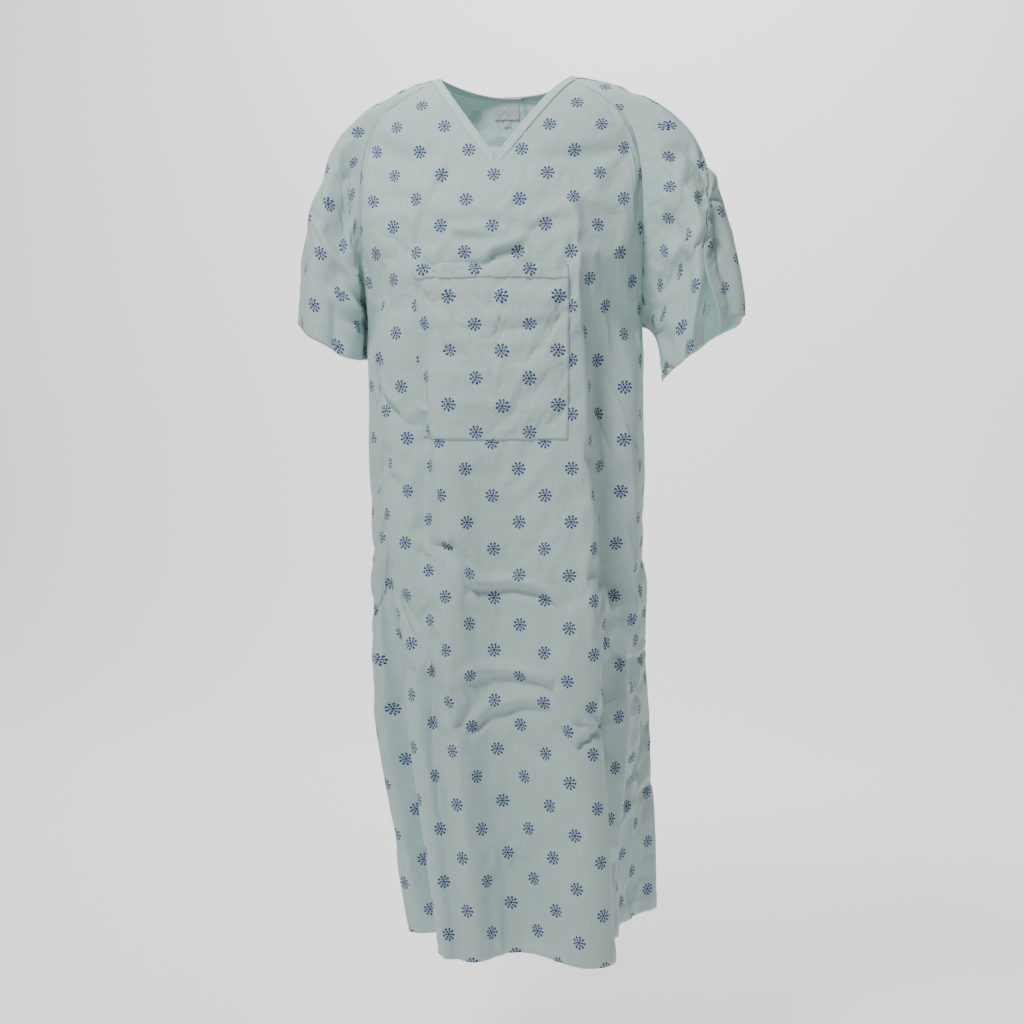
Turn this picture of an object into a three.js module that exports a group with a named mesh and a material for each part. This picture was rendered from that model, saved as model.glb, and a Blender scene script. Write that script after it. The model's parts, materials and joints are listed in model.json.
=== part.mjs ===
// Patient gown: V-neck body with a snapped, overlapping back, raglan sleeves that
// open along the arm, and one large chest pocket. Units are millimetres, +Z up.
// The wearer faces -Y and the wearer's left side is +X. The origin is on the centre
// plane at the height of the shoulder line, where the wearer's shoulders carry the gown.
import * as THREE from 'three';

// ---- Driving dimensions -------------------------------------------------------
const LENGTH = 1205;             // shoulder line to hem
const CLOTH = 2.4;               // thickness of a cloth solid, seams and air included
const GAP = 0.4;                 // clearance between pieces that lie on or beside each other
const NECK_HALF_WIDTH = 92;
const V_DEPTH = 120;             // front neckline, below the shoulder line
const BACK_NECK_DROP = 15;
const BINDING_WIDTH = 12;
const BINDING_GAP = 2.0;         // clearance between the binding and the panels it edges

const ARMPIT_DROP = 345;
const RAGLAN_ANGLE_FRONT = 38;   // degrees round the body from the side, at the neck
const RAGLAN_ANGLE_BACK = 42;

const HINGE_TOP_X = 76;          // back fold lines: distance from the centre plane on top
const HINGE_HEM_X = 130;         // and from the middle of the skirt at the hem
const FLAP_LIFT = CLOTH + 1.4;   // the outer flap lies this far outside the inner one
const BACK_OVERLAP = 30;         // each flap passes the centre plane by this much
const NECK_OVERLAP = 12;         // and by this much at the neck
const OVERLAP_DROP = 90;         // down to here the overlap widens

const SLEEVE_HEM_TOP = new THREE.Vector3(306, 15, -335);
const SLEEVE_HEM_UNDER = new THREE.Vector3(207, 5, -402);
const SLEEVE_HEM_HALF_DEPTH = 90;
const SLIT_START = 0.46;         // share of the way from neck to sleeve hem
const SLIT_TURN = { left: 0.2, right: -0.1 };  // share of the girth that the slit lies to the front
const SLEEVE_FLAP_WIDTH = 0.14;  // share of the sleeve's girth, at the hem
const SLEEVE_FLAP_TOP = 0.055;   // the same at the slit's start
const PLACKET_OVER = 0.036;      // share of the girth that the placket covers past the slit
const PLACKET_LIFT = CLOTH + 2.8; // the placket rides clear of the bend in the cloth below

const POCKET_WIDTH = 204;
const POCKET_HEIGHT = 228;
const POCKET_TOP_DROP = 266;
const POCKET_CENTRE_X = -4;
const POCKET_EASE = 12;          // how far the mouth stands open at its middle
const POCKET_LIFT = CLOTH + 1.2;   // the pocket's sewn edges lie this far outside the front
const POCKET_HEM = 18;

const SNAP_RADIUS = 6;
const SNAP_HEIGHT = 2.2;
const SLEEVE_SNAPS = [0.54, 0.62, 0.7];     // shares of the way from neck to sleeve hem
const BACK_SNAP_DROPS = [104, 280, 470];    // below the shoulder line
const BACK_SNAP_X = -16;                   // between the centre plane and the outer flap's edge

const LABEL_WIDTH = 36;
const LABEL_HEIGHT = 21;
const LABEL_DROP = 22;
const LABEL_X = -10;
const SIZE_LABEL_SIDE = 10;
const LABEL_THICKNESS = 0.8;

const MINT = 0xb7d3c8;
const DEEP_MINT = 0xa5cdbd;
const LABEL_WHITE = 0xe3e0ea;
const SNAP_COLOUR = 0x8fc0ac;

// ---- Body surface ---------------------------------------------------------------
// Girth stations down the body: centre offset, half width, front and back depth.
const STATIONS = [
  { drop: 0, centre: 0, half: NECK_HALF_WIDTH, front: 6, back: 40 },
  { drop: 14, centre: 0, half: 124, front: 42, back: 82 },
  { drop: 32, centre: 0, half: 160, front: 66, back: 94 },
  { drop: 66, centre: 0, half: 200, front: 88, back: 104 },
  { drop: 120, centre: 0, half: 214, front: 108, back: 112 },
  { drop: 200, centre: 0, half: 207, front: 136, back: 120 },
  { drop: ARMPIT_DROP, centre: 0, half: 192, front: 138, back: 126 },
  { drop: 600, centre: 3, half: 200, front: 136, back: 136 },
  { drop: 880, centre: 8, half: 199, front: 146, back: 148 },
  { drop: 1040, centre: 22, half: 190, front: 155, back: 155 },
  { drop: LENGTH, centre: 36, half: 178, front: 163, back: 162 },
];
const SECTION_POWER = 2.35;      // 2 is an ellipse, more is squarer

// How far the hem is pushed from the plain section by the hang of the skirt: two lobes
// frame the front, with a hollow between them and a deep valley behind each.
const DRAPE = [
  { angle: -180, across: 12, along: 4 },
  { angle: -168, across: 0, along: 2 },
  { angle: -152, across: 5, along: 21 },
  { angle: -140, across: 29, along: 56 },
  { angle: -131, across: 17, along: 18 },
  { angle: -121, across: 0, along: -18 },
  { angle: -106, across: -4, along: -6 },
  { angle: -91, across: -4, along: 38 },
  { angle: -77, across: 0, along: 8 },
  { angle: -61, across: 0, along: -20 },
  { angle: -46, across: -9, along: -16 },
  { angle: -26, across: -46, along: 18 },
  { angle: -9, across: -56, along: 30 },
  { angle: 8, across: -20, along: 16 },
  { angle: 24, across: 12, along: 4 },
  { angle: 42, across: 0, along: 0 },
  { angle: 138, across: 0, along: 0 },
  { angle: 160, across: 5, along: -4 },
  { angle: 180, across: 12, along: 4 },
];
const DRAPE_START = ARMPIT_DROP;

const HALVINGS = 40;             // steps of each search by halving

const rad = (degrees) => degrees * Math.PI / 180;
const clamp = (value, low, high) => Math.min(high, Math.max(low, value));
const mix = (from, to, share) => from + (to - from) * share;
const smooth = (share) => {
  const s = clamp(share, 0, 1);
  return s * s * (3 - 2 * s);
};

// Value of one column of a table at a place along it, by a cubic through its rows.
function along(table, place, key, value) {
  let i = 0;
  while (i < table.length - 2 && value > table[i + 1][place]) i += 1;
  const at = (k) => table[clamp(k, 0, table.length - 1)];
  const slope = (k) => {
    const before = at(k - 1);
    const after = at(k + 1);
    return (after[key] - before[key]) / (after[place] - before[place]);
  };
  const p = at(i);
  const q = at(i + 1);
  const span = q[place] - p[place];
  const t = clamp((value - p[place]) / span, 0, 1);
  const t2 = t * t;
  const t3 = t2 * t;
  return (2 * t3 - 3 * t2 + 1) * p[key] + (t3 - 2 * t2 + t) * span * slope(i)
    + (3 * t2 - 2 * t3) * q[key] + (t3 - t2) * span * slope(i + 1);
}

const station = (key, drop) => along(STATIONS, 'drop', key, drop);

// Point on the body at an angle (0 is +X, -90 the front, 90 the back) and a drop.
function bodyPoint(degrees, drop) {
  const c = Math.cos(rad(degrees));
  const s = Math.sin(rad(degrees));
  const depth = station(s < 0 ? 'front' : 'back', drop);
  const bend = (value) => Math.sign(value) * Math.abs(value) ** (2 / SECTION_POWER);
  const drape = smooth((drop - DRAPE_START) / (LENGTH - DRAPE_START));
  const turned = degrees > 180 ? degrees - 360 : degrees;
  const across = drape * along(DRAPE, 'angle', 'across', turned);
  const x = station('centre', drop) + station('half', drop) * bend(c) + across;
  return new THREE.Vector3(x, depth * bend(s) + drape * along(DRAPE, 'angle', 'along', turned), -drop);
}

// Angle of the body point that lies at x, on the front (-1) or the back (1).
function angleAt(x, drop, side) {
  const share = clamp((x - station('centre', drop)) / station('half', drop), -1, 1);
  const c = Math.sign(share) * Math.abs(share) ** (SECTION_POWER / 2);
  return side * Math.acos(c) * 180 / Math.PI;
}

const RAGLAN_STEEPNESS = 1.3;    // how late the raglan seam turns in from the side
const RAGLAN_ROUNDNESS = 0.8;    // and how fully it rounds at the armpit

// Angle between the side of the body and the raglan seam, at a drop.
function raglanAngle(drop, side) {
  const top = side < 0 ? RAGLAN_ANGLE_FRONT : RAGLAN_ANGLE_BACK;
  const share = clamp(drop / ARMPIT_DROP, 0, 1);
  return top * (1 - share ** RAGLAN_STEEPNESS) ** RAGLAN_ROUNDNESS;
}

function necklineDrop(x, side) {
  const share = clamp(Math.abs(x) / NECK_HALF_WIDTH, 0, 1);
  return side < 0 ? V_DEPTH * (1 - share) : BACK_NECK_DROP * (1 - share * share);
}

// Drop, on the column of a given angle function, at which the neckline crosses it.
function neckDropOf(columnAngle, side) {
  let low = 0;
  let high = V_DEPTH + 10;
  for (let i = 0; i < HALVINGS; i += 1) {
    const middle = (low + high) / 2;
    const point = bodyPoint(columnAngle(middle), middle);
    if (middle > necklineDrop(point.x, side)) high = middle;
    else low = middle;
  }
  return high;
}

// How far the binding reaches down a column: further where the neckline runs steeply.
const BINDING_FLAT = 0.45;       // of its width, on top of the shoulder
const BINDING_STEEP = 1.5;       // and at the tip of the V
const BACK_STEEPNESS = 0.2;
const bindingDrop = (x, side) => {
  const steep = side < 0 ? 1 - clamp(Math.abs(x) / NECK_HALF_WIDTH, 0, 1) * 0.6 : BACK_STEEPNESS;
  return BINDING_WIDTH * mix(BINDING_FLAT, BINDING_STEEP, steep);
};

// Highest point of a panel's column: the raglan seam or the binding, whichever is lower.
function panelTopOf(columnAngle, side) {
  const neck = neckDropOf(columnAngle, side);
  const x = bodyPoint(columnAngle(neck), neck).x;
  const underBinding = neck + bindingDrop(x, side) + BINDING_GAP;
  let low = 0;
  let high = ARMPIT_DROP + 1;
  for (let i = 0; i < HALVINGS; i += 1) {
    const middle = (low + high) / 2;
    const degrees = columnAngle(middle);
    const fromSide = Math.min(Math.abs(degrees), 180 - Math.abs(degrees));
    if (fromSide > raglanAngle(middle, side) || middle > ARMPIT_DROP) high = middle;
    else low = middle;
  }
  return Math.max(high, underBinding);
}

// ---- Cloth solids -----------------------------------------------------------------
// Closed solid of even thickness round a surface place(u, v), u and v from 0 to 1.
// lift moves it outwards from the surface. outward is the sign that points out.
function clothSolid(place, columns, rows, { thickness = CLOTH, lift = () => 0, outward = 1 } = {}) {
  const step = 1e-3;
  const normalAt = (u, v) => {
    const du = place(Math.min(u + step, 1), v).sub(place(Math.max(u - step, 0), v));
    const dv = place(u, Math.min(v + step, 1)).sub(place(u, Math.max(v - step, 0)));
    return du.cross(dv).normalize().multiplyScalar(outward);
  };
  const positions = [];
  for (const half of [1, -1]) {
    for (let j = 0; j <= rows; j += 1) {
      for (let i = 0; i <= columns; i += 1) {
        const u = i / columns;
        const v = j / rows;
        const shift = lift(u, v) + half * thickness / 2;
        positions.push(...place(u, v).addScaledVector(normalAt(u, v), shift).toArray());
      }
    }
  }
  const line = columns + 1;
  const under = line * (rows + 1);
  const faces = [];
  const quad = (a, b, c, d) => faces.push(a, b, c, a, c, d);
  for (let j = 0; j < rows; j += 1) {
    for (let i = 0; i < columns; i += 1) {
      const a = j * line + i;
      quad(a, a + 1, a + 1 + line, a + line);
      quad(under + a, under + a + line, under + a + 1 + line, under + a + 1);
    }
  }
  for (let i = 0; i < columns; i += 1) {
    const last = rows * line + i;
    quad(i + 1, i, under + i, under + i + 1);
    quad(last, last + 1, under + last + 1, under + last);
  }
  for (let j = 0; j < rows; j += 1) {
    const left = j * line;
    const right = left + columns;
    quad(left, left + line, under + left + line, under + left);
    quad(right + line, right, under + right, under + right + line);
  }
  if (outward < 0) {
    for (let k = 0; k < faces.length; k += 3) [faces[k], faces[k + 1]] = [faces[k + 1], faces[k]];
  }
  const geometry = new THREE.BufferGeometry();
  geometry.setAttribute('position', new THREE.Float32BufferAttribute(positions, 3));
  geometry.setIndex(faces);
  geometry.computeVertexNormals();
  return geometry;
}

const gown = new THREE.Group();

function addPiece(name, geometry, colour, roughness = 0.9) {
  const material = new THREE.MeshStandardMaterial({ color: colour, roughness, metalness: 0 });
  const mesh = new THREE.Mesh(geometry, material);
  mesh.name = name;
  gown.add(mesh);
  return mesh;
}

// ---- Body panels --------------------------------------------------------------------
const SEAM_DEGREES = 0.12;       // half of the gap at a side seam, as an angle
const FRONT_COLUMNS = 18;        // on each half of the front
const NECK_COLUMNS = 12;         // of them, those that end at the neckline
const ROW_CROWDING = 1.5;        // rows lie closer together near the shoulders
const BODY_ROWS = 22;
const BINDING_COLUMNS = 44;

// Angle from the side of the body to the corner where raglan seam and neckline meet.
function cornerAngle(side) {
  let low = 0;
  let high = side < 0 ? RAGLAN_ANGLE_FRONT : RAGLAN_ANGLE_BACK;
  for (let i = 0; i < HALVINGS; i += 1) {
    const middle = (low + high) / 2;
    const neck = neckDropOf(() => side * middle, side);
    const edge = neck + bindingDrop(bodyPoint(side * middle, neck).x, side) + BINDING_GAP;
    if (middle > raglanAngle(edge, side)) high = middle;
    else low = middle;
  }
  return high;
}

function addFrontPanel() {
  const corner = 90 - cornerAngle(-1);
  const split = NECK_COLUMNS / FRONT_COLUMNS;
  const place = (u, v) => {
    const share = Math.abs(2 * u - 1);
    const past = (share - split) / (1 - split);
    const turned = share < split ? corner * share / split : mix(corner, 90 - SEAM_DEGREES, past);
    const degrees = -90 + Math.sign(u - 0.5) * turned;
    const column = () => degrees;
    return bodyPoint(degrees, mix(panelTopOf(column, -1), LENGTH, v ** ROW_CROWDING));
  };
  addPiece('front_panel', clothSolid(place, 2 * FRONT_COLUMNS, BODY_ROWS, { outward: -1 }), MINT);
}

const hingeX = (drop, hand) => mix(
  hand * HINGE_TOP_X, station('centre', LENGTH) + hand * HINGE_HEM_X, drop / LENGTH);
const hingeAngle = (drop, hand) => angleAt(hingeX(drop, hand), drop, 1);

// The fixed part of the back, from the side seam to the flap's fold line.
function addBackSide(name, hand) {
  const side = hand > 0 ? SEAM_DEGREES : 180 - SEAM_DEGREES;
  const place = (u, v) => {
    const column = (drop) => mix(side, hingeAngle(drop, hand) - hand * GAP * 0.3, u);
    const drop = mix(panelTopOf(column, 1), LENGTH, v ** ROW_CROWDING);
    return bodyPoint(column(drop), drop);
  };
  addPiece(name, clothSolid(place, 8, BODY_ROWS, { outward: -hand }), MINT);
}

// A back flap, from its fold line past the centre plane. The outer one lies on the inner one.
function flapX(u, drop, hand) {
  const overlap = mix(NECK_OVERLAP, BACK_OVERLAP, smooth(drop / OVERLAP_DROP));
  return mix(hingeX(drop, hand) - hand * GAP, -hand * overlap, u);
}

const FLAP_RISE = 2.2;           // the outer flap is fully lifted this early across its width
const flapLift = (isOuter, u) => (isOuter ? FLAP_LIFT * smooth(u * FLAP_RISE) : 0);

function addBackFlap(name, hand, isOuter) {
  const place = (u, v) => {
    const column = (drop) => angleAt(flapX(u, drop, hand), drop, 1);
    const drop = mix(panelTopOf(column, 1), LENGTH, v ** ROW_CROWDING);
    return bodyPoint(column(drop), drop);
  };
  const lift = (u) => flapLift(isOuter, u);
  addPiece(name, clothSolid(place, 8, BODY_ROWS, { outward: -hand, lift }), MINT);
}

// ---- Neck binding ---------------------------------------------------------------------
// Each length of binding runs along the neckline between two columns.
function addBinding(name, angleOf, columns, outward, lift = () => 0) {
  const place = (u, v) => {
    const column = (drop) => angleOf(u, drop);
    const side = angleOf(u, 0) < 0 ? -1 : 1;
    const neck = neckDropOf(column, side);
    const x = bodyPoint(column(neck), neck).x;
    const drop = neck + bindingDrop(x, side) * v;
    return bodyPoint(column(drop), drop);
  };
  addPiece(name, clothSolid(place, columns, 1, { outward, lift }), DEEP_MINT, 0.85);
}

function addNeckBinding() {
  const tip = 0.25;
  for (const [name, hand] of [['neck_binding_left', 1], ['neck_binding_right', -1]]) {
    const fromTip = (u, drop) => {
      const end = hingeAngle(drop, 1) - 0.4;
      const degrees = mix(-90 + tip, end, u);
      return hand > 0 ? degrees : (degrees < 0 ? -180 : 180) - degrees;
    };
    addBinding(name, fromTip, BINDING_COLUMNS, -hand);
  }
  const overFlap = (hand) => (u, drop) => angleAt(flapX(u, drop, hand), drop, 1);
  addBinding('neck_binding_outer', overFlap(1), 10, -1, (u) => flapLift(true, u));
  addBinding('neck_binding_inner', overFlap(-1), 10, 1);
}

// ---- Sleeves ----------------------------------------------------------------------------
// The sleeve's surface runs from the raglan seam and neckline (v = 0) to its hem (v = 1).
// u goes round it: 0 on top, positive over the front, 0.5 under the arm, negative behind.
const NECK_SHARE = 0.06;         // part of u, each way from the top, that meets the neckline

function sleeveRoot(u) {
  const side = u >= 0 ? -1 : 1;
  const along = Math.abs(u);
  const corner = cornerAngle(side);
  if (along < NECK_SHARE) {
    const column = () => side * corner * along / NECK_SHARE;
    const neck = neckDropOf(column, side);
    const x = bodyPoint(column(), neck).x;
    const drop = neck + bindingDrop(x, side) + BINDING_GAP + CLOTH;
    return { degrees: column(), drop };
  }
  const share = (along - NECK_SHARE) / (0.5 - NECK_SHARE);
  const cornerDrop = panelTopOf(() => side * corner, side);
  const drop = mix(cornerDrop, ARMPIT_DROP, smooth(share) * 0.35 + share * 0.65);
  return { degrees: side * raglanAngle(drop, side), drop };
}

function sleevePoint(u, v) {
  const { degrees, drop } = sleeveRoot(u);
  const root = bodyPoint(degrees, drop);
  const out = new THREE.Vector3(Math.cos(rad(degrees)), Math.sin(rad(degrees)), 0);
  root.addScaledVector(out, CLOTH + 5 * GAP);
  const turn = 2 * Math.PI * u;
  const hem = SLEEVE_HEM_TOP.clone().add(SLEEVE_HEM_UNDER).multiplyScalar(0.5);
  hem.addScaledVector(SLEEVE_HEM_TOP.clone().sub(SLEEVE_HEM_UNDER), Math.cos(turn) / 2);
  hem.y -= SLEEVE_HEM_HALF_DEPTH * Math.sin(turn);
  const top = (1 + Math.cos(turn)) / 2;
  const nearRoot = root.clone().add(new THREE.Vector3(
    mix(16, 112, top ** 1.5), -16 * Math.sin(turn), mix(2, -16, top)));
  const nearHem = hem.clone().add(new THREE.Vector3(
    mix(-2, -6, top), -6 * Math.sin(turn), mix(30, 205, top)));
  const curve = new THREE.CubicBezierCurve3(root, nearRoot, nearHem, hem);
  return curve.getPoint(v);
}

const mirrored = (point, hand) => {
  point.x *= hand;
  return point;
};

const SLIT_GAP = 0.003;          // half of the gap along the slit, as a share of the girth
const SLIT_SETTLES = 0.75;       // share of the sleeve's length by which the slit has turned
const FOLD_CLEARANCE = 0.02;     // share of the length between the slit's start and the fold
const FLAP_CLEARANCE = 0.035;    // and between the slit's start and the flap
const PLACKET_CLEARANCE = 0.045; // and between the slit's start and the placket
const PLACKET_UNDER = 0.012;     // share of the girth that the placket covers on the flap

// The line where the two halves of the sleeve meet, as a share of the girth from the top.
const slitTurn = (v, word) => SLIT_TURN[word] * smooth(v / SLIT_SETTLES);

// Where the fixed back half of the sleeve stops: at the top seam, then at the flap's fold.
function flapEdge(v) {
  if (v <= SLIT_START) return 0;
  const width = mix(SLEEVE_FLAP_TOP, SLEEVE_FLAP_WIDTH, (v - SLIT_START) / (1 - SLIT_START));
  return width * clamp((v - SLIT_START) / FOLD_CLEARANCE, 0, 1);
}

function addSleeve(word, hand) {
  const front = (u, v) => mirrored(
    sleevePoint(mix(slitTurn(v, word) + SLIT_GAP, 0.5 - SLIT_GAP, u), v), hand);
  addPiece(`sleeve_front_${word}`, clothSolid(front, 16, 12, { outward: hand }), MINT);

  const back = (u, v) => {
    const below = mix(SLIT_START + FOLD_CLEARANCE, 1, 2 * v - 1);
    const row = v < 0.5 ? mix(0, SLIT_START, 2 * v) : below;
    const turn = mix(slitTurn(row, word) - flapEdge(row) - SLIT_GAP, -0.5 + SLIT_GAP, u);
    return mirrored(sleevePoint(turn, row), hand);
  };
  addPiece(`sleeve_back_${word}`, clothSolid(back, 14, 12, { outward: -hand }), MINT);

  const flap = (u, v) => {
    const row = mix(SLIT_START + FLAP_CLEARANCE, 1, v);
    const turn = slitTurn(row, word) - mix(SLIT_GAP, flapEdge(row) - SLIT_GAP, u);
    return mirrored(sleevePoint(turn, row), hand);
  };
  addPiece(`sleeve_flap_${word}`, clothSolid(flap, 4, 9, { outward: -hand }), MINT);

  const placket = (u, v) => {
    const row = mix(SLIT_START + PLACKET_CLEARANCE, 1, v);
    const turn = slitTurn(row, word) + mix(-PLACKET_UNDER, PLACKET_OVER, u);
    return mirrored(sleevePoint(turn, row), hand);
  };
  const over = () => PLACKET_LIFT;
  addPiece(`sleeve_placket_${word}`, clothSolid(placket, 2, 9, { outward: hand, lift: over }), MINT);
}

// ---- Chest pocket -------------------------------------------------------------------------
function pocketPoint(u, v) {
  const drop = POCKET_TOP_DROP + v * POCKET_HEIGHT;
  const x = POCKET_CENTRE_X + (u - 0.5) * POCKET_WIDTH;
  return bodyPoint(angleAt(x, drop, -1), drop);
}

const MOUTH_FULLNESS = 0.7;      // smaller is fuller, across the pocket
const BAG_FULLNESS = 0.6;        // and down it
const pocketLift = (u, v) => {
  const across = Math.sin(Math.PI * clamp(u, 0, 1)) ** MOUTH_FULLNESS;
  const down = Math.cos(Math.PI / 2 * clamp(v, 0, 1)) ** BAG_FULLNESS;
  return POCKET_LIFT + POCKET_EASE * across * down;
};

const HEM_THICKNESS = 1.2;

function addPocket() {
  const bag = clothSolid(pocketPoint, 12, 10, { outward: -1, lift: pocketLift });
  addPiece('chest_pocket', bag, MINT);
  const share = POCKET_HEM / POCKET_HEIGHT;
  const hem = (u, v) => pocketPoint(u, v * share);
  const hemLift = (u, v) => pocketLift(u, v * share) + CLOTH / 2 + GAP + HEM_THICKNESS / 2;
  const options = { outward: -1, lift: hemLift, thickness: HEM_THICKNESS };
  addPiece('pocket_hem', clothSolid(hem, 12, 1, options), MINT);
}

// ---- Snaps and labels -----------------------------------------------------------------------
function snapGeometry() {
  const profile = [
    new THREE.Vector2(0, 0),
    new THREE.Vector2(SNAP_RADIUS, 0),
    new THREE.Vector2(SNAP_RADIUS * 0.85, SNAP_HEIGHT * 0.75),
    new THREE.Vector2(0, SNAP_HEIGHT),
  ];
  return new THREE.LatheGeometry(profile, 12);
}

// Half a snap on a surface. away is the distance of its base from the surface.
function addSnap(name, point, normal, away) {
  const mesh = addPiece(name, snapGeometry(), SNAP_COLOUR, 0.4);
  mesh.quaternion.setFromUnitVectors(new THREE.Vector3(0, 1, 0), normal);
  mesh.position.copy(point).addScaledVector(normal, away);
}

function surfaceNormal(place, outwardHint) {
  const step = 1e-3;
  const du = place(step, 0).sub(place(-step, 0));
  const dv = place(0, step).sub(place(0, -step));
  const normal = du.cross(dv).normalize();
  return normal.dot(outwardHint) < 0 ? normal.negate() : normal;
}

const SNAP_SEAT = CLOTH / 2 + 1.2;   // the cloth is curved under the snap's flat base
const SLEEVE_SNAP_SEAT = SNAP_SEAT + 4.2;  // most of all on the bent placket of a sleeve
const STUD_SEAT = SNAP_SEAT + 1.4;   // and on the hollow side of a sleeve
const MM_STEP = 1000;            // turns surfaceNormal's small step into a millimetre

function addSleeveSnaps(word, hand) {
  SLEEVE_SNAPS.forEach((v, index) => {
    const u = slitTurn(v, word) + PLACKET_OVER * 0.5;
    const around = (du, dv) => mirrored(sleevePoint(u + du, v + dv), hand);
    const normal = surfaceNormal(around, new THREE.Vector3(hand, -Math.sin(2 * Math.PI * u), 0.5));
    const point = around(0, 0);
    const number = index + 1;
    addSnap(`sleeve_snap_socket_${word}_${number}`, point, normal, PLACKET_LIFT + SLEEVE_SNAP_SEAT);
    addSnap(`sleeve_snap_stud_${word}_${number}`, point, normal.clone().negate(), STUD_SEAT);
  });
}

function addBackSnaps() {
  BACK_SNAP_DROPS.forEach((drop, index) => {
    const around = (across, down) => {
      const x = BACK_SNAP_X + across * MM_STEP;
      const height = drop + down * MM_STEP;
      return bodyPoint(angleAt(x, height, 1), height);
    };
    const normal = surfaceNormal(around, new THREE.Vector3(0, 1, 0));
    const number = index + 1;
    addSnap(`back_snap_socket_${number}`, around(0, 0), normal, FLAP_LIFT + SNAP_SEAT);
    addSnap(`back_snap_stud_${number}`, around(0, 0), normal.clone().negate(), SNAP_SEAT);
  });
}

// Labels are sewn inside the back of the neck, to the inner flap.
function addLabels() {
  const thickness = LABEL_THICKNESS;
  const inside = () => -(CLOTH / 2 + 2 * GAP + thickness / 2);
  const label = (width, height, x, drop) => (u, v) => {
    const down = drop + v * height;
    return bodyPoint(angleAt(x + (u - 0.5) * width, down, 1), down);
  };
  const name = label(LABEL_WIDTH, LABEL_HEIGHT, LABEL_X, LABEL_DROP);
  const size = label(SIZE_LABEL_SIDE, SIZE_LABEL_SIDE, LABEL_X, LABEL_DROP + LABEL_HEIGHT + GAP);
  const options = { outward: 1, thickness, lift: inside };
  addPiece('neck_label', clothSolid(name, 3, 2, options), LABEL_WHITE, 0.7);
  addPiece('size_label', clothSolid(size, 1, 1, options), LABEL_WHITE, 0.7);
}

addFrontPanel();
addBackSide('back_side_left', 1);
addBackSide('back_side_right', -1);
addBackFlap('back_flap_outer', 1, true);
addBackFlap('back_flap_inner', -1, false);
addNeckBinding();
for (const [word, hand] of [['left', 1], ['right', -1]]) {
  addSleeve(word, hand);
  addSleeveSnaps(word, hand);
}
addPocket();
addBackSnaps();
addLabels();

export default gown;
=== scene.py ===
import json
import math

import bpy
import numpy as np
from bpy.props import FloatProperty, FloatVectorProperty, IntProperty, PointerProperty
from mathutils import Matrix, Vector


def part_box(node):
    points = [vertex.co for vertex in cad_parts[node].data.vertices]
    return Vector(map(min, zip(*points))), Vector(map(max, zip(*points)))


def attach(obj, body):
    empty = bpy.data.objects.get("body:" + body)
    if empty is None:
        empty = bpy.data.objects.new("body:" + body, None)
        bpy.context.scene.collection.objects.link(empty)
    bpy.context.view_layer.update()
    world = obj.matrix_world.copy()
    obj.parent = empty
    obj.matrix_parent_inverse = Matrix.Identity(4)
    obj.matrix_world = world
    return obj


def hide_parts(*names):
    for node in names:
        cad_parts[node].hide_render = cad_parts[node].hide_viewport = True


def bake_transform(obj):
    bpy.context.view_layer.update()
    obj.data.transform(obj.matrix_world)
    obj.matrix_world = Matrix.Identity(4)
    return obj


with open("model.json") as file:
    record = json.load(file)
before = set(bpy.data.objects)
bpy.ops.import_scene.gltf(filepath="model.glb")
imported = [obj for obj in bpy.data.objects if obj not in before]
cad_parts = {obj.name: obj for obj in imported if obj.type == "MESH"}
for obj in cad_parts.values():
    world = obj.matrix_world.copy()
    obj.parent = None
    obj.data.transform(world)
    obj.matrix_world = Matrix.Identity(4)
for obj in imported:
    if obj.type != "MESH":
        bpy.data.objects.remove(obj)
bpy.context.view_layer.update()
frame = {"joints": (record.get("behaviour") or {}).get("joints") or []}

bl_info = {
    "name": "Patient Gown",
    "version": (1, 0, 0),
    "blender": (4, 5, 0),
    "location": "3D View > Sidebar > Gown",
    "description": "Sews the cloth, binding, pocket, snaps and stitching of a patient gown",
    "category": "Object",
}

MM = 0.001

# ---- The gown's pattern, in millimetres as the maker cuts it -------------------------------
LENGTH = 1205
NECK_HALF_WIDTH = 92
V_DEPTH = 120
BACK_NECK_DROP = 15
BINDING_WIDTH = 12
ARMPIT_DROP = 345
RAGLAN_TOP = {-1: 38, 1: 42}         # degrees from the side, at the neck: front, back
SECTION_POWER = 2.35
EDGE_UNDER_BINDING = 3               # the panels' edges lie this far inside the binding
BACK_OVERLAP = 30
NECK_OVERLAP = 12
OVERLAP_DROP = 90
SLEEVE_TOP = (306, 15, -335)
SLEEVE_UNDER = (207, 5, -402)
SLEEVE_HALF_DEPTH = 90
NECK_SHARE = 0.06
SLIT_START = 0.46
SLIT_TURN = {"left": 0.2, "right": -0.1}
FLAP_TOP, FLAP_WIDTH = 0.055, 0.14
PLACKET_OVER = 0.036
POCKET_WIDTH, POCKET_HEIGHT = 204, 228
POCKET_TOP, POCKET_CENTRE = 266, -4
POCKET_HEM = 18
SLEEVE_SNAPS = (0.54, 0.62, 0.7)
BACK_SNAPS = (104, 280, 470)
BACK_SNAP_X = -16
LABEL_SIZE = (36, 21)
LABEL_PLACE = (-10, 22)
SIZE_LABEL = 10.4
HEM_DEPTH = 24

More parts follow.
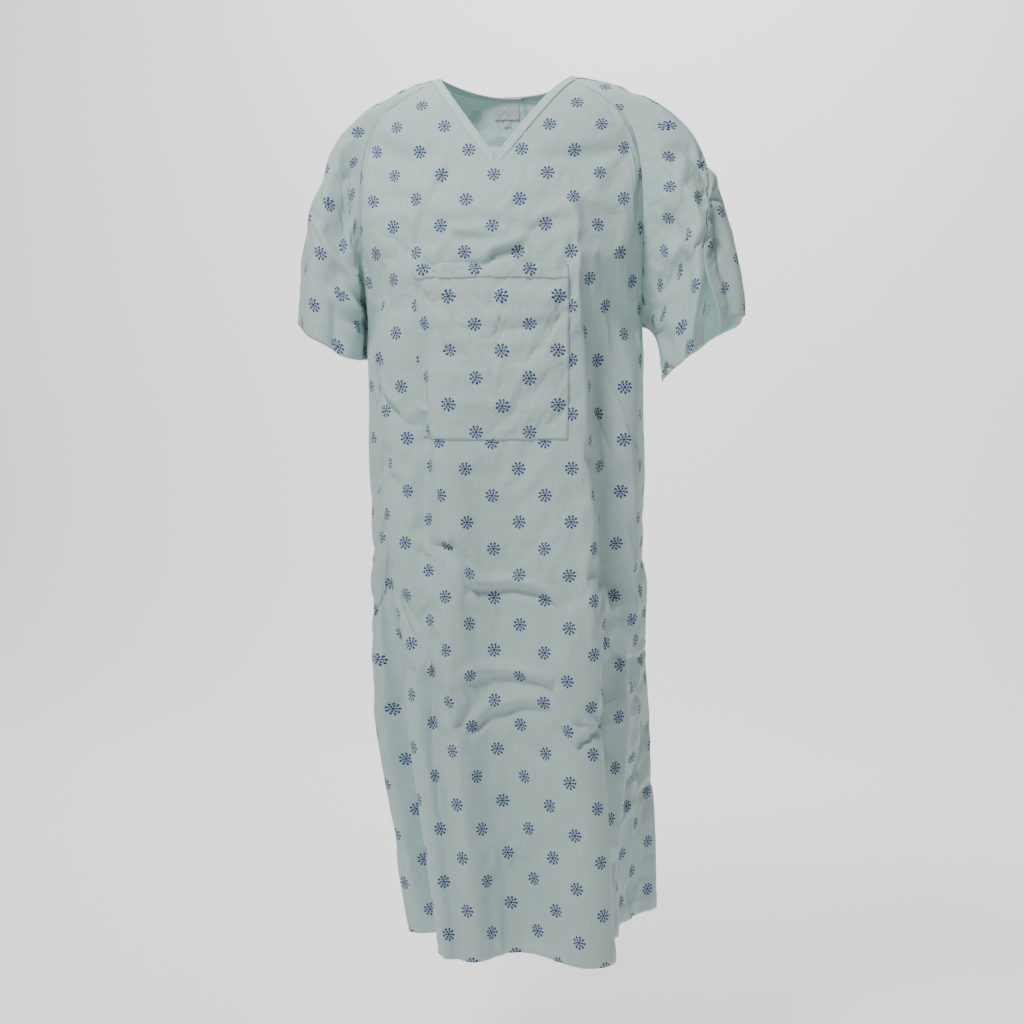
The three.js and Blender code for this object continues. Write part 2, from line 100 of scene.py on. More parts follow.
STATION_DROPS = (0, 14, 32, 66, 120, 200, 345, 600, 880, 1040, 1205)
STATIONS = {
    "centre": (0, 0, 0, 0, 0, 0, 0, 3, 8, 22, 36),
    "half": (92, 124, 160, 200, 214, 207, 192, 200, 199, 190, 178),
    "front": (6, 42, 66, 88, 108, 136, 138, 136, 146, 155, 163),
    "back": (40, 82, 94, 104, 112, 120, 126, 136, 148, 155, 162),
}
HEM_ANGLES = (-180, -168, -152, -140, -131, -121, -106, -91, -77, -61, -46, -26, -9, 8, 24, 42, 138,
              160, 180)
HEM_ACROSS = (12, 0, 5, 29, 17, 0, -4, -4, 0, 0, -9, -46, -56, -20, 12, 0, 0, 5, 12)
HEM_ALONG = (4, 2, 21, 56, 18, -18, -6, 38, 8, -20, -16, 18, 30, 16, 4, 0, 0, -4, 4)

# Long folds of the hanging cloth: (girth place, drop) down each, how far it stands out, and
# its width on each side. Girth places run from the middle of the front, + to the wearer's left.
LONG_FOLDS = (
    {"path": ((104, 120), (112, 300), (128, 620), (150, 1205)), "out": 19, "widths": (28, 9)},
    {"path": ((146, 180), (156, 400), (174, 700), (188, 1205)), "out": -25, "widths": (19, 21)},
    {"path": ((196, 300), (205, 500), (232, 800), (240, 1205)), "out": 12, "widths": (12, 18)},
    {"path": ((-84, 300), (-76, 480), (-66, 640), (-64, 1205)), "out": 15, "widths": (7, 30)},
    {"path": ((-106, 260), (-100, 480), (-94, 700), (-92, 1205)), "out": -21, "widths": (17, 10)},
    {"path": ((-150, 200), (-150, 500), (-140, 800), (-150, 1205)), "out": 10, "widths": (20, 16)},
    {"path": ((-196, 360), (-200, 700), (-205, 1205)), "out": -10, "widths": (18, 18)},
    {"path": ((30, 860), (36, 1000), (40, 1205)), "out": -7, "widths": (26, 26)},
    {"path": ((-20, 930), (-26, 1205)), "out": 4, "widths": (10, 16)},
    {"path": ((420, 240), (430, 700), (450, 1205)), "out": 9, "widths": (26, 26)},
    {"path": ((-420, 240), (-430, 700), (-440, 1205)), "out": 9, "widths": (26, 26)},
    {"path": ((330, 380), (335, 700), (340, 1205)), "out": -12, "widths": (24, 24)},
    {"path": ((-330, 380), (-335, 700), (-340, 1205)), "out": -12, "widths": (24, 24)},
    {"path": ((300, 540), (310, 1205)), "out": 15, "widths": (60, 50)},
    {"path": ((500, 500), (520, 1205)), "out": -8, "widths": (22, 22)},
    {"path": ((-500, 500), (-515, 1205)), "out": -8, "widths": (22, 22)},
)
# Short creases across the cloth: (girth place, drop) along each, height and width.
CREASES = (
    {"path": ((-58, 219), (-20, 217), (20, 223)), "out": 3.4, "width": 5},
    {"path": ((-20, 262), (2, 240), (48, 229)), "out": 4.0, "width": 6},
    {"path": ((-78, 262), (-66, 238), (-56, 222)), "out": 2.6, "width": 5},
    {"path": ((-46, 690), (20, 684), (60, 690), (92, 712)), "out": 4.2, "width": 5},
    {"path": ((-62, 640), (-40, 676), (-20, 690)), "out": 3.0, "width": 5},
    {"path": ((-52, 812), (20, 807), (86, 815)), "out": 3.2, "width": 6},
    {"path": ((-52, 893), (-10, 862), (40, 848), (86, 850)), "out": 3.6, "width": 6},
    {"path": ((86, 832), (104, 860), (140, 878)), "out": 3.6, "width": 5},
    {"path": ((92, 876), (112, 898), (150, 872)), "out": 3.4, "width": 5},
    {"path": ((-150, 700), (-128, 745), (-110, 770)), "out": 2.0, "width": 8},
    {"path": ((-170, 815), (-130, 800), (-104, 812)), "out": 1.8, "width": 9},
    {"path": ((150, 470), (176, 520), (200, 545)), "out": 2.6, "width": 8},
    {"path": ((-60, 120), (-90, 160), (-120, 240)), "out": 3.0, "width": 9},
    {"path": ((150, 700), (180, 730), (210, 720)), "out": 2.2, "width": 8},
    {"path": ((-190, 380), (-160, 430), (-130, 455)), "out": 3.0, "width": 7},
    {"path": ((400, 620), (470, 600), (520, 615)), "out": 3.2, "width": 6},
    {"path": ((-480, 760), (-430, 742), (-390, 760)), "out": 3.2, "width": 6},
    {"path": ((380, 900), (440, 880), (500, 905)), "out": 3.0, "width": 6},
)


def mix(start, end, share):
    return start + (end - start) * share


def smooth(share):
    share = np.clip(share, 0, 1)
    return share * share * (3 - 2 * share)


def through(places, values, at):
    """Smooth curve through a table's rows, flat beyond its ends."""
    places, values = np.asarray(places, float), np.asarray(values, float)
    at = np.clip(np.asarray(at, float), places[0], places[-1])
    slopes = np.gradient(values, places)
    slopes[1:-1] = (values[2:] - values[:-2]) / (places[2:] - places[:-2])
    i = np.clip(np.searchsorted(places, at) - 1, 0, len(places) - 2)
    span = places[i + 1] - places[i]
    t = (at - places[i]) / span
    t2, t3 = t * t, t * t * t
    near = (2 * t3 - 3 * t2 + 1) * values[i] + (t3 - 2 * t2 + t) * span * slopes[i]
    return near + (3 * t2 - 2 * t3) * values[i + 1] + (t3 - t2) * span * slopes[i + 1]


def station(key, drop):
    return through(STATION_DROPS, STATIONS[key], drop)


def body_point(degrees, drop):
    """Point on the plain body: 0 degrees is the wearer's left side, -90 the front."""
    degrees, drop = np.broadcast_arrays(np.asarray(degrees, float), np.asarray(drop, float))
    c, s = np.cos(np.radians(degrees)), np.sin(np.radians(degrees))
    c_bent = np.sign(c) * np.abs(c) ** (2 / SECTION_POWER)
    s_bent = np.sign(s) * np.abs(s) ** (2 / SECTION_POWER)
    depth = np.where(s < 0, station("front", drop), station("back", drop))
    drape = smooth((drop - ARMPIT_DROP) / (LENGTH - ARMPIT_DROP))
    turned = np.where(degrees > 180, degrees - 360, degrees)
    x = station("centre", drop) + station("half", drop) * c_bent
    x = x + drape * through(HEM_ANGLES, HEM_ACROSS, turned)
    y = depth * s_bent + drape * through(HEM_ANGLES, HEM_ALONG, turned)
    return np.stack([x, y, -drop], -1)


def angle_at(x, drop, side):
    """Angle of the body point that lies at x, on the front (-1) or the back (1)."""
    share = np.clip((x - station("centre", drop)) / station("half", drop), -1, 1)
    c = np.sign(share) * np.abs(share) ** (SECTION_POWER / 2)
    return side * np.degrees(np.arccos(c))


def raglan_angle(drop, side):
    share = np.clip(drop / ARMPIT_DROP, 0, 1)
    top = np.where(side < 0, RAGLAN_TOP[-1], RAGLAN_TOP[1])
    return top * (1 - share ** 1.3) ** 0.8


def neckline_drop(x, side):
    share = np.clip(np.abs(x) / NECK_HALF_WIDTH, 0, 1)
    return np.where(side < 0, V_DEPTH * (1 - share), BACK_NECK_DROP * (1 - share * share))


def halve(is_past, low, high, shape):
    """The place between low and high at which a test first holds, for many columns at once."""
    low, high = np.full(shape, float(low)), np.full(shape, float(high))
    for _ in range(32):
        middle = (low + high) / 2
        past = is_past(middle)
        high = np.where(past, middle, high)
        low = np.where(past, low, middle)
    return high


def side_of(degrees):
    return np.where(np.sin(np.radians(degrees)) < 0, -1, 1)


def neck_drop(degrees):
    """Drop at which the neckline crosses the column at an angle."""
    side = side_of(degrees)

    def past(drop):
        return drop > neckline_drop(body_point(degrees, drop)[..., 0], side)

    return halve(past, 0, V_DEPTH + 10, np.shape(degrees))


def panel_top(degrees):
    """Highest point of a body column: the raglan seam, or just inside the neck binding."""
    side = side_of(degrees)
    turned = np.abs((degrees + 180) % 360 - 180)
    from_side = np.minimum(turned, 180 - turned)

    def past(drop):
        return (from_side > raglan_angle(drop, side)) | (drop > ARMPIT_DROP)

    raglan = halve(past, 0, ARMPIT_DROP + 1, np.shape(degrees))
    return np.maximum(raglan, neck_drop(degrees) + EDGE_UNDER_BINDING)


def corner_angle(side):
    """Angle of the corner where the raglan seam meets the neckline."""
    def past(angle):
        return angle > raglan_angle(neck_drop(side * angle) + EDGE_UNDER_BINDING, side)

    return float(halve(past, 0, RAGLAN_TOP[side], (1,))[0])


# ---- Cloth that remembers where each point of it was cut ---------------------------------------
def catmull(t):
    """Weights of four neighbours on a smooth curve through them."""
    t2, t3 = t * t, t * t * t
    return (-0.5 * t3 + t2 - 0.5 * t, 1.5 * t3 - 2.5 * t2 + 1, -1.5 * t3 + 2 * t2 + 0.5 * t,
            0.5 * t3 - 0.5 * t2)


class Cloth:
    """A grid of cloth points, sampled smoothly at any row and column."""

    def __init__(self, points, flat, wraps):
        self.points, self.flat, self.wraps = points, flat, wraps
        self.update()

    def update(self):
        p = self.points
        down = np.gradient(p, axis=0)
        if self.wraps:
            across = (np.roll(p, -1, 1) - np.roll(p, 1, 1)) / 2
        else:
            across = np.gradient(p, axis=1)
        normal = np.cross(down, across)
        size = np.linalg.norm(normal, axis=-1, keepdims=True)
        self.normals = normal / np.maximum(size, 1e-12)

    def sample(self, table, row, column):
        row, column = np.broadcast_arrays(np.asarray(row, float), np.asarray(column, float))
        rows, columns = table.shape[:2]
        row = np.clip(row, 0, rows - 1 - 1e-6)
        if not self.wraps:
            column = np.clip(column, 0, columns - 1 - 1e-6)
        i, j = np.floor(row).astype(int), np.floor(column).astype(int)
        result = 0
        for di, wi in zip(range(-1, 3), catmull(row - i)):
            for dj, wj in zip(range(-1, 3), catmull(column - j)):
                jj = (j + dj) % columns if self.wraps else np.clip(j + dj, 0, columns - 1)
                ii = np.clip(i + di, 0, rows - 1)
                result = result + (wi * wj)[..., None] * table[ii, jj]
        return result

    def at(self, row, column, lift=0.0):
        """Points, lifted off the cloth by lift metres, on its outer side."""
        normal = self.sample(self.normals, row, column)
        normal = normal / np.linalg.norm(normal, axis=-1, keepdims=True)
        lift = np.asarray(lift, float)[..., None] if np.ndim(lift) else lift
        return self.sample(self.points, row, column) + normal * lift


def place_along(path, at, down):
    """Where a fold's path lies at a drop (down) or at a girth place (across)."""
    table = np.asarray(path, float)
    table = table[np.argsort(table[:, 1 if down else 0])]
    return np.interp(at, table[:, 1], table[:, 0]) if down else np.interp(at, table[:, 0], table[:, 1])


CREASE_DEPTH = 1.7


def fold_height(girth, drop):
    """How far the folds and creases stand out of the plain body, in millimetres."""
    height = np.zeros(np.broadcast(girth, drop).shape)
    for fold in LONG_FOLDS:
        path = fold["path"]
        away = girth - place_along(path, drop, True)
        width = np.where(away < 0, fold["widths"][0], fold["widths"][1])
        grown = smooth((drop - path[0][1]) / 260) * (1 - 0.25 * smooth((drop - 900) / 305))
        height += fold["out"] * grown / np.cosh(np.clip(away / width, -20, 20))
    for crease in CREASES:
        path = crease["path"]
        first, last = min(p[0] for p in path), max(p[0] for p in path)
        away = drop - place_along(path, girth, False)
        ends = smooth((girth - first) / 14) * smooth((last - girth) / 14)
        profile = 1 / np.cosh(np.clip(away / crease["width"], -20, 20))
        shadow = 0.6 / np.cosh(np.clip((away - 2.4 * crease["width"]) / crease["width"], -20, 20))
        height += CREASE_DEPTH * crease["out"] * ends * (profile - shadow)
    return height


def girth_table():
    """Distance round the plain body from the middle of the front, by angle and drop."""
    angles = np.linspace(-90, 90 + 180, 721)
    drops = np.linspace(0, LENGTH, 49)
    ring = body_point(angles[None, :], drops[:, None])
    step = np.linalg.norm(np.diff(ring[..., :2], axis=1), axis=-1)
    left = np.concatenate([np.zeros((49, 1)), np.cumsum(step, axis=1)], axis=1)
    return angles, drops, left


GIRTH_ANGLES, GIRTH_DROPS, GIRTHS = girth_table()


def girth_place(degrees, drop):
    """Signed distance round the body, + to the wearer's left, up to the middle of the back."""
    turned = (degrees + 90) % 360 - 90
    i = np.clip(drop / LENGTH * 48, 0, 47.999)
    j = np.clip((turned + 90) / 360 * 720, 0, 719.999)
    i0, j0 = i.astype(int), j.astype(int)
    a = mix(GIRTHS[i0, j0], GIRTHS[i0, j0 + 1], j - j0)
    b = mix(GIRTHS[i0 + 1, j0], GIRTHS[i0 + 1, j0 + 1], j - j0)
    here = mix(a, b, i - i0)
    whole = mix(GIRTHS[i0, -1], GIRTHS[i0 + 1, -1], i - i0)
    return np.where(turned <= 90, here, here - whole)


BODY_COLUMNS, BODY_ROWS, ROW_CROWDING = 216, 168, 1.15


def body_columns():
    """Angles of evenly spaced columns round the body, starting at the right side seam."""
    angles = np.linspace(-180, 180, 1441)
    ring = body_point(angles, np.full(angles.shape, 600.0))
    length = np.concatenate([[0], np.cumsum(np.linalg.norm(np.diff(ring, axis=0), axis=-1))])
    return np.interp(np.arange(BODY_COLUMNS) / BODY_COLUMNS * length[-1], length, angles)


COLUMN_ANGLES = body_columns()
COLUMN_TOPS = panel_top(COLUMN_ANGLES)


def column_of(degrees):
    wrapped = (np.asarray(degrees, float) + 180) % 360 - 180
    return np.interp(wrapped, np.append(COLUMN_ANGLES, 180), np.arange(BODY_COLUMNS + 1))


def row_of(degrees, drop):
    top = panel_top(np.asarray(degrees, float))
    share = np.clip((drop - top) / (LENGTH - top), 0, 1)
    return share ** (1 / ROW_CROWDING) * BODY_ROWS


def shoulder_lengths():
    """Cloth length up from the 200 mm level at each x, front and back, so the print lies flat."""
    x = np.linspace(-210, 210, 85)
    drops = np.linspace(200, 0, 51)
    tables = {}
    for side in (-1, 1):
        y = body_point(angle_at(x[None, :], drops[:, None], side), drops[:, None])[..., 1]
        step = np.hypot(np.diff(y, axis=0), np.diff(drops)[:, None])
        tables[side] = np.concatenate([np.zeros((1, 85)), np.cumsum(step, axis=0)])
    return tables


FLAT_EASING = 90


def cut_body():
    """The body's cloth, folded as it hangs, with its place on the flat pattern."""
    share = (np.arange(BODY_ROWS + 1) / BODY_ROWS) ** ROW_CROWDING
    drops = mix(COLUMN_TOPS[None, :], LENGTH, share[:, None])
    angles = np.broadcast_to(COLUMN_ANGLES[None, :], drops.shape)
    plain = Cloth(body_point(angles, drops), None, True)
    below_top = drops - COLUMN_TOPS[None, :]
    height = fold_height(girth_place(angles, drops), drops) * smooth(below_top / 70)
    points = plain.points + plain.normals * height[..., None]
    ring = np.concatenate([points, points[:, :1]], axis=1)
    step = np.linalg.norm(np.diff(ring[..., :2], axis=1), axis=-1)
    for _ in range(FLAT_EASING):
        padded = np.concatenate([step[:1], step, step[-1:]])
        step = (padded[:-2] + 2 * padded[1:-1] + padded[2:]) / 4
    run = np.concatenate([np.zeros((len(step), 1)), np.cumsum(step, axis=1)[:, :-1]], axis=1)
    front = int(np.argmin(np.abs(COLUMN_ANGLES + 90)))
    run = run - run[:, front:front + 1]
    x = points[..., 0]
    level = girth_place(angle_at(x, 200.0 + 0 * x, side_of(angles)), 200.0 + 0 * x)
    whole = girth_place(np.array(89.99), np.array(200.0)) * 2
    level = np.where((side_of(angles) > 0) & (level < 0), level + whole, level)
    across = mix(level, run, smooth((drops - 200) / 100))
    lengths = shoulder_lengths()
    i = np.clip((200 - drops) / 4, 0, 49.99)
    j = np.clip((x + 210) / 5, 0, 83.99)
    i0, j0 = i.astype(int), j.astype(int)
    up = 0
    for side in (-1, 1):
        t = lengths[side]
        low = mix(t[i0, j0], t[i0, j0 + 1], j - j0)
        high = mix(t[i0 + 1, j0], t[i0 + 1, j0 + 1], j - j0)
        up = up + np.where(side_of(angles) == side, mix(low, high, i - i0), 0)
    along = np.where(drops < 200, 200 - up, drops)
    flat = np.stack([across, -along], -1)
    return Cloth(points * MM, flat * MM, True)


SLEEVE_COLUMNS, SLEEVE_ROWS = 88, 56
# Folds along each sleeve: turn round it at the root and at the hem, height, width in turns.
SLEEVE_FOLDS = {
    "left": ((0.05, 0.13, 11, 0.030), (0.12, 0.19, -8, 0.028), (0.20, 0.27, 12, 0.026),
             (0.29, 0.33, -9, 0.03), (-0.12, -0.1, 7, 0.04), (-0.26, -0.24, -7, 0.04)),
    "right": ((0.10, 0.06, 5, 0.05), (0.18, 0.20, 8, 0.035), (0.27, 0.30, -9, 0.035),
              (0.35, 0.40, 6, 0.04), (-0.12, -0.1, 7, 0.04), (-0.26, -0.24, -7, 0.04)),
}
# Creases that run slantwise from the underarm: start turn and row, end turn and row, height.
SLEEVE_CREASES = {
    "left": ((0.34, 0.30, 0.22, 0.62, 5.0), (0.30, 0.16, 0.18, 0.34, 5.0), (0.05, 0.62, 0.14, 0.55, 3.0),
             (-0.1, 0.5, -0.24, 0.42, 4.0)),
    "right": ((0.36, 0.26, 0.16, 0.50, 7.0), (0.40, 0.36, 0.20, 0.66, 7.0), (0.42, 0.52, 0.26, 0.80, 5.0),
              (0.30, 0.14, 0.14, 0.30, 4.0), (-0.1, 0.5, -0.24, 0.42, 4.0)),
}


# How far the sleeve's hem is let down at the underarm, in millimetres.
UNDERARM_HANG = {"left": (10, -5, -18), "right": (4, 0, 12)}
# How far the sleeve hangs away from its plain place, along x.
SLEEVE_REACH = {"left": 21, "right": 14}


def sleeve_root(u):
    side = np.where(u >= 0, -1, 1)
    corner = np.where(side < 0, corner_angle(-1), corner_angle(1))
    along = np.abs(u)
    near_angle = side * corner * np.minimum(along, NECK_SHARE) / NECK_SHARE
    near_drop = neck_drop(near_angle) + EDGE_UNDER_BINDING
    share = np.clip((along - NECK_SHARE) / (0.5 - NECK_SHARE), 0, 1)
    corner_drop = panel_top(side * (corner + 0.01))
    far_drop = mix(corner_drop, ARMPIT_DROP, smooth(share) * 0.35 + share * 0.65)
    far_angle = side * raglan_angle(far_drop, side)
    near = along < NECK_SHARE
    return np.where(near, near_angle, far_angle), np.where(near, near_drop, far_drop)


def sleeve_point(u, v):
    degrees, drop = sleeve_root(u[0])
    root = body_point(degrees, drop)[None]
    turn = (2 * math.pi * u)[..., None]
    top_point, under = np.array(SLEEVE_TOP, float), np.array(SLEEVE_UNDER, float)
    hem = (top_point + under) / 2 + (top_point - under) * np.cos(turn) / 2
    hem = hem - np.array([0, SLEEVE_HALF_DEPTH, 0]) * np.sin(turn)
    top = (1 + np.cos(turn)) / 2
    zero = 0 * top
    near_root = root + np.concatenate(
        [mix(16, 112, top ** 1.5), -16 * np.sin(turn), mix(2, -16, top)], -1)
    near_hem = hem + np.concatenate([mix(-2, -6, top), -6 * np.sin(turn), mix(30, 205, top)], -1)
    t = v[..., None]
    return ((1 - t) ** 3 * root + 3 * (1 - t) ** 2 * t * near_root + 3 * (1 - t) * t * t * near_hem
            + t ** 3 * hem + zero)


def sleeve_shape(word, u, v):
    """Folds of a sleeve, in millimetres off its plain surface."""
    height = np.zeros(u.shape)
    for root, hem, out, width in SLEEVE_FOLDS[word]:
        away = (u - mix(root, hem, v)) / width
        height += out * smooth(v / 0.35) / np.cosh(np.clip(away, -20, 20))
    for u0, v0, u1, v1, out in SLEEVE_CREASES[word]:
        along = (u1 - u0, v1 - v0)
        size = math.hypot(*along)
        share = ((u - u0) * along[0] + (v - v0) * along[1]) / size ** 2
        away = ((u - u0) * along[1] - (v - v0) * along[0]) / size
        ends = smooth(share / 0.25) * smooth((1 - share) / 0.25)
        profile = 1 / np.cosh(np.clip(away / 0.02, -20, 20))
        shadow = 0.7 / np.cosh(np.clip((away - 0.05) / 0.022, -20, 20))
        height += out * ends * (profile - shadow)
    return height


def slit_turn(v, word):
    return SLIT_TURN[word] * smooth(v / 0.75)


def cut_sleeve(word):
    hand = 1 if word == "left" else -1
    u = np.linspace(-0.5, 0.5, SLEEVE_COLUMNS + 1)[None, :] + np.zeros((SLEEVE_ROWS + 1, 1))
    v = np.linspace(0, 1, SLEEVE_ROWS + 1)[:, None] + 0 * u
    points = sleeve_point(u, v)
    points[..., 0] *= hand
    plain = Cloth(points[:, ::-hand], None, False)
    u, v = u[:, ::-hand], v[:, ::-hand]
    points = plain.points + plain.normals * sleeve_shape(word, u, v)[..., None]
    hang = smooth(v) * smooth((np.abs(u) - 0.3) / 0.2)
    points = points + hang[..., None] * np.array(UNDERARM_HANG[word])
    points[..., 0] += SLEEVE_REACH[word] * smooth(v / 0.45) * (1 - 0.8 * smooth((np.abs(u) - 0.3) / 0.2))
    along = np.linalg.norm(np.diff(points, axis=0), axis=-1)
    down = np.concatenate([np.zeros((1, u.shape[1])), np.cumsum(along, axis=0)])
    down = down - down[-1:] + 330
    slope = np.gradient(points, axis=0)
    slope = slope / np.linalg.norm(slope, axis=-1, keepdims=True)
    step, slope = np.diff(points, axis=1), (slope[:, 1:] + slope[:, :-1]) / 2
    ring = np.linalg.norm(step - slope * (step * slope).sum(-1, keepdims=True), axis=-1)
    run = np.concatenate([np.zeros((len(u), 1)), np.cumsum(ring, axis=1)], axis=1)
    run = run - run[:, SLEEVE_COLUMNS // 2:SLEEVE_COLUMNS // 2 + 1]
    return Cloth(points * MM, np.stack([run + 31, -down], -1) * MM, False)


def sleeve_place(word, u, v):
    """Row and column of a point of a sleeve's cloth."""
    hand = 1 if word == "left" else -1
    return v * SLEEVE_ROWS, (0.5 - hand * u) * SLEEVE_COLUMNS


# ---- Hanging the cloth ------------------------------------------------------------------------
def grid_faces(rows, columns, wraps):
    i, j = np.meshgrid(np.arange(rows - 1), np.arange(columns if wraps else columns - 1), indexing="ij")
    after = (j + 1) % columns
    corners = [i * columns + j, (i + 1) * columns + j, (i + 1) * columns + after, i * columns + after]
    return np.stack([c.ravel() for c in corners], -1)


def mesh_from(name, points, faces):
    mesh = bpy.data.meshes.new(name)
    mesh.from_pydata(points.reshape(-1, 3).tolist(), [], faces.tolist())
    mesh.update()
    return mesh


def hang(cloths, holds, frames, slack):
    """Lets the cloths hang together under their own weight, held where holds says."""
    points = np.concatenate([c.points.reshape(-1, 3) for c in cloths])
    faces, start = [], 0
    for cloth in cloths:
        rows, columns = cloth.points.shape[:2]
        faces.append(grid_faces(rows, columns, cloth.wraps) + start)
        start += rows * columns
    obj = bpy.data.objects.new("hanging", mesh_from("hanging", points, np.concatenate(faces)))
    bpy.context.scene.collection.objects.link(obj)
    group = obj.vertex_groups.new(name="held")
    weights = np.round(np.concatenate([h.ravel() for h in holds]), 2)
    for weight in np.unique(weights):
        group.add(np.nonzero(weights == weight)[0].tolist(), float(weight), "REPLACE")
    modifier = obj.modifiers.new("hang", "CLOTH")
    settings = modifier.settings
    settings.quality = 5
    settings.mass = 0.13
    settings.tension_stiffness = settings.compression_stiffness = 30
    settings.effector_weights.gravity = 0.03
    settings.shear_stiffness = 8
    settings.bending_stiffness = 0.08
    settings.tension_damping = settings.compression_damping = 8
    settings.air_damping = 2
    settings.vertex_group_mass = "held"
    settings.pin_stiffness = 1.2
    settings.shrink_min = -slack
    modifier.collision_settings.use_collision = False
    modifier.collision_settings.use_self_collision = False
    modifier.point_cache.frame_start = 1
    modifier.point_cache.frame_end = frames
    scene = bpy.context.scene
    for number in range(1, frames + 1):
        scene.frame_set(number)
    evaluated = obj.evaluated_get(bpy.context.evaluated_depsgraph_get())
    settled = np.empty(len(points) * 3, np.float32)
    evaluated.data.vertices.foreach_get("co", settled)
    scene.frame_set(1)
    bpy.data.objects.remove(obj)
    moved = settled.reshape(-1, 3).astype(float) - points
    far = np.linalg.norm(moved, axis=-1, keepdims=True)
    moved *= np.minimum(1, MOST_MOVED / np.maximum(far, 1e-9))
    start = 0
    for cloth in cloths:
        rows, columns = cloth.points.shape[:2]
        cloth.points += moved[start:start + rows * columns].reshape(rows, columns, 3)
        cloth.update()
        start += rows * columns


MOST_MOVED = 0.014


def body_holds():
    rows = np.arange(BODY_ROWS + 1)[:, None]
    share = (rows / BODY_ROWS) ** ROW_CROWDING
    drops = mix(COLUMN_TOPS[None, :], LENGTH, share)
    near_top = 1 - smooth((drops - COLUMN_TOPS[None, :]) / 90)
    near_hem = smooth((drops - LENGTH + 120) / 120)
    hold = np.maximum(near_top, 0.10 + 0.05 * near_hem)
    for snap_drop in BACK_SNAPS:
        far = np.hypot((COLUMN_ANGLES[None, :] - 90) * 2.6, drops - snap_drop)
        hold = np.maximum(hold, 0.9 * (1 - smooth(far / 40)))
    return np.clip(hold, 0, 1)


def sleeve_holds():
    v = np.linspace(0, 1, SLEEVE_ROWS + 1)[:, None] + np.zeros((1, SLEEVE_COLUMNS + 1))
    hold = np.maximum(1 - smooth(v / 0.28), 0.12 + 0.1 * smooth((v - 0.85) / 0.15))
    hold[:, :2] = np.maximum(hold[:, :2], 0.5)
    hold[:, -2:] = np.maximum(hold[:, -2:], 0.5)
    return hold


CLOTHS = {}


def cut_and_hang(settings):
    if CLOTHS:
        return
    body = cut_body()
    sleeves = {word: cut_sleeve(word) for word in ("left", "right")}
    hang([body, sleeves["left"], sleeves["right"]], [body_holds(), sleeve_holds(), sleeve_holds()],
         settings.hang_frames, settings.slack)
    CLOTHS["body"] = body
    CLOTHS.update(sleeves)


# ---- Materials ----------------------------------------------------------------------------------
class Number:
    """A number in a shader. Python's operators on it add the Math nodes that work it out."""

    def __init__(self, shader, socket):
        self.shader, self.socket = shader, socket

    def math(self, operation, *others, clamp=False):
        return self.shader.math(operation, self, *others, clamp=clamp)

    def __add__(self, other):
        return self.math("ADD", other)

    def __sub__(self, other):
        return self.math("SUBTRACT", other)

    def __rsub__(self, other):
        return self.shader.math("SUBTRACT", other, self)

    def __mul__(self, other):
        return self.math("MULTIPLY", other)

    def __truediv__(self, other):
        return self.math("DIVIDE", other)

    def __lt__(self, other):
        return self.math("LESS_THAN", other)

    __radd__ = __add__
    __rmul__ = __mul__

    def __abs__(self):
        return self.math("ABSOLUTE")

    def wrapped(self):
        return self.math("FRACT")

    def cosine(self):
        return self.math("COSINE")

    def clamped(self):
        return self.math("ADD", 0.0, clamp=True)

    def at_least(self, other):
        return self.math("MAXIMUM", other)


class Shader:
    """Builds one material's nodes."""

    def __init__(self, name):
        self.material = bpy.data.materials.new(name)
        self.material.use_nodes = True
        self.tree = self.material.node_tree
        self.tree.nodes.clear()

    def node(self, kind, settings=None, values=None):
        node = self.tree.nodes.new(kind)
        for key, value in (settings or {}).items():
            if key == "stops":
                for stop, (place, colour) in zip(node.color_ramp.elements, value):
                    stop.position, stop.color = place, colour
            else:
                setattr(node, key, value)
        for key, value in (values or {}).items():
            self.put(node.inputs[key], value)
        return node

    def put(self, socket, value):
        if isinstance(value, Number):
            self.tree.links.new(value.socket, socket)
        elif isinstance(value, bpy.types.NodeSocket):
            self.tree.links.new(value, socket)
        else:
            socket.default_value = value

    def math(self, operation, *values, clamp=False):
        settings = {"operation": operation, "use_clamp": clamp}
        node = self.node("ShaderNodeMath", settings, dict(enumerate(values)))
        return Number(self, node.outputs[0])

    def vector(self, x, y, z=0.0):
        return self.node("ShaderNodeCombineXYZ", None, {"X": x, "Y": y, "Z": z}).outputs[0]

    def noise(self, vector, scale, detail=2.0, distortion=0.0):
        values = {"Vector": vector, "Scale": scale, "Detail": detail, "Distortion": distortion}
        return Number(self, self.node("ShaderNodeTexNoise", None, values).outputs[0])

    def mixed(self, share, first, second):
        values = {"Factor": share, 6: first, 7: second}
        return self.node("ShaderNodeMix", {"data_type": "RGBA"}, values).outputs[2]

    def flat_place(self):
        """The place on the cloth's flat pattern, in metres."""
        place = self.node("ShaderNodeUVMap", {"uv_map": "flat"}).outputs[0]
        parts = self.node("ShaderNodeSeparateXYZ", None, {"Vector": place})
        return Number(self, parts.outputs[0]), Number(self, parts.outputs[1])

    def object_place(self):
        return self.node("ShaderNodeTexCoord").outputs["Object"]

    def finish(self, constants, colour, roughness, height, distance):
        bump = self.node("ShaderNodeBump", None, {"Strength": 1.0, "Distance": distance, "Height": height})
        values = dict(constants)
        values.update({"Base Color": colour, "Roughness": roughness, "Normal": bump.outputs[0]})
        surface = self.node("ShaderNodeBsdfPrincipled", None, values)
        self.node("ShaderNodeOutputMaterial", None, {"Surface": surface.outputs[0]})
        return self.material


